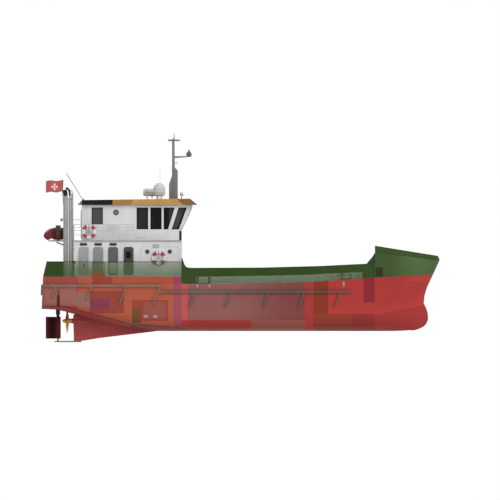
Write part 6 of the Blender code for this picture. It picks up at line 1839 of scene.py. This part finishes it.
put("dome_seams", seam, "dome_seam")
print("raft and dome done")

# %% [markdown]
# Deck gear: the winch's brake band, motor and wire, collars on the bollards, stays round the cargo
# trunk, and on each hatch lid its stiffening bars, clamps and lifting lugs. What is on a lid rides on
# the lid.
# %% Deck gear
WINCH_Y = -2.82
WINCH_H = 3.66

motor = bmesh.new()
add_turned(motor, (6.795, WINCH_Y, up(WINCH_H)), (1, 0, 0), ((0.0, 0.045), (0.0, 0.052), (0.02, 0.052), (0.02, 0.045)), 18)
add_prism(motor, rounded((6.26, 6.44), (up(3.41), up(3.50)), 0.02), "y", WINCH_Y - 0.20, WINCH_Y + 0.20)
add_prism(motor, rounded((6.84, 6.99), (up(3.41), up(3.51)), 0.02), "y", WINCH_Y - 0.12, WINCH_Y + 0.12)
for x in (6.28, 6.96):
    for y in (-0.2, 0.2):
        add_bolt(motor, (x, WINCH_Y + y, up(3.40)), (0, 0, 1), 0.018, 0.016)
put("winch_motor", motor, "black", edge=0.004)
rope = bmesh.new()
turns = 9
coil = []
for i in range(turns * 14 + 1):
    angle = 2 * math.pi * i / 14
    y = WINCH_Y + 0.112 * math.cos(angle)
    coil.append((6.225 + 0.21 * i / (turns * 14), y, up(WINCH_H) + 0.112 * math.sin(angle)))
add_bar(rope, coil, 0.011, 6)
put("winch_wire", rope, "rope", "winch_drum_starboard")

collars = bmesh.new()
for x, y in ((-11.97, 2.55), (-11.97, 3.10), (-2.97, 3.20), (-2.22, 3.20)):
    for name, side in SIDES:
        deck = 3.53 if x < -4 else 3.10
        add_turned(collars, (x, side * y, up(deck)), (0, 0, 1), ((0.0, 0.078), (0.0, 0.095), (0.02, 0.082), (0.02, 0.07)), 20)
put("bollard_collars", collars, "gear")

stays = bmesh.new()
trunk_low, trunk_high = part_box("cargo_trunk")
for x in even(trunk_low.x + 0.35, trunk_high.x - 0.35, 13):
    for name, side in SIDES:
        face = side * trunk_high.y
        top = skin_top("cargo_trunk", x, side * (trunk_high.y - 0.04))
        outline = ((face, top - 0.03), (face + side * 0.03, top - 0.03), (face + side * 0.11, top - 0.43), (face, top - 0.43))
        add_prism(stays, outline, "x", x - 0.008, x + 0.008)
put("trunk_stays", stays, "trunk")

for name in ("aft", "forward"):
    node = "hatch_lid_" + name
    low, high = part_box(node)
    top = high.z
    bars = bmesh.new()
    for x in even(low.x + 0.35, high.x - 0.35, 4):
        line = [(x, y, skin_top(node, x, y) - 0.002) for y in (low.y + 0.15, 0.0, high.y - 0.15)]
        add_strip(bars, line, (1, 0, 0), 0.06, 0.022)
    for y in (low.y + 0.45, high.y - 0.45):
        for x in (low.x + 0.55, high.x - 0.55):
            z = skin_top(node, x, y)
            lug = ((x - 0.07, z - 0.004), (x - 0.07, z + 0.05), (x + 0.07, z + 0.05), (x + 0.07, z - 0.004))
            add_bar(bars, [(a, y, b) for a, b in lug], 0.012, 8)
    put("hatch_bars_" + name, bars, "boat_deck", node, 0.004)
    clamps = bmesh.new()
    free = high.x if name == "aft" else low.x
    inward = -1 if name == "aft" else 1
    for y in (-1.0, 0.0, 1.0):
        x = free + inward * 0.07
        z = skin_top(node, x, y)
        knob = ((0.0, 0.035), (0.03, 0.030), (0.03, 0.012), (0.055, 0.012))
        add_turned(clamps, (x, y, z - 0.002), (0, 0, 1), knob, 12)
        add_bar(clamps, [(x, y - 0.07, z + 0.048), (x, y + 0.07, z + 0.048)], 0.010, 8)
    put("hatch_clamps_" + name, clamps, "steel", node)
print("deck gear placed")

# %% [markdown]
# Through the open after door one sees the helm: a desk with a sloping top, screens that are off, a
# wheel and a chair on its post.
# %% Helm
desk = bmesh.new()
desk_side = ((-5.30, 5.90), (-4.95, 5.90), (-4.95, 6.60), (-5.05, 6.72), (-5.38, 6.52), (-5.38, 6.42))
add_prism(desk, [(x, up(h)) for x, h in desk_side], "y", -1.15, 1.15)
put("helm_desk", desk, "box_white", edge=0.01)
screens = bmesh.new()
for y in (-0.75, -0.25, 0.25, 0.75):
    slope = ((-5.33, 6.558), (-5.12, 6.688))
    corners = [(x, y + way, h) for (x, h), way in zip((slope[0], slope[0], slope[1], slope[1]), (-0.2, 0.2, 0.2, -0.2))]
    add_loft(screens, [[(x, a, up(h) + rise) for x, a, h in corners] for rise in (-0.004, 0.008)])
put("helm_screens", screens, "dark_glass")
chair = bmesh.new()
add_turned(chair, (-6.05, 0.0, up(5.90)), (0, 0, 1), ((-0.02, 0.22), (0.02, 0.20), (0.05, 0.05), (0.42, 0.045)), 18)
add_prism(chair, rounded((-6.30, -5.80), (up(6.32), up(6.42)), 0.045), "y", -0.25, 0.25)
add_prism(chair, rounded((-6.34, -6.24), (up(6.40), up(7.02)), 0.045), "y", -0.24, 0.24)
put("helm_chair", chair, "black", edge=0.015)
print("helm placed")

# %% [markdown]
# A pale floor at the height of the water stands in for a sea. It is a wide round sheet, so that its
# rim is far from the boat in every view. It gives no light or shade to the hull, since the sheet
# shows the bottom as clearly as the top.
# %% Floor
FLOOR_RADIUS = 220.0


def make_floor():
    finish = Finish("pale_floor", (0.80, 0.80, 0.80), 0.9)
    finish.paint(finish.clouded((0.80, 0.80, 0.80), 0.01, 0.2))
    paints["floor"] = finish.material
    bm = bmesh.new()
    rim = ring_points((0, 0, 0), (0, 0, 1), FLOOR_RADIUS, 96, (1, 0, 0))
    add_faces(bm, [[bm.verts.new(point) for point in rim]])
    mesh = bpy.data.meshes.new("floor")
    bm.to_mesh(mesh)
    bm.free()
    mesh.materials.append(paints["floor"])
    floor = bpy.data.objects.new("floor", mesh)
    bpy.context.scene.collection.objects.link(floor)
    floor.visible_shadow = False
    floor.visible_diffuse = False
    floor.visible_glossy = False
    floor.visible_transmission = False
    floor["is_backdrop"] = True


make_floor()

# %% [markdown]
# Last come the sizes: both boxes are printed, the solids' first and the dressed boat's second, so
# that one can see whether the dressing has outgrown the frame.
# %% Sizes, and the end
visual_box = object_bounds()
for corner, other in zip(cad_box, visual_box):
    print([round(value, 3) for value in corner], [round(value, 3) for value in other])
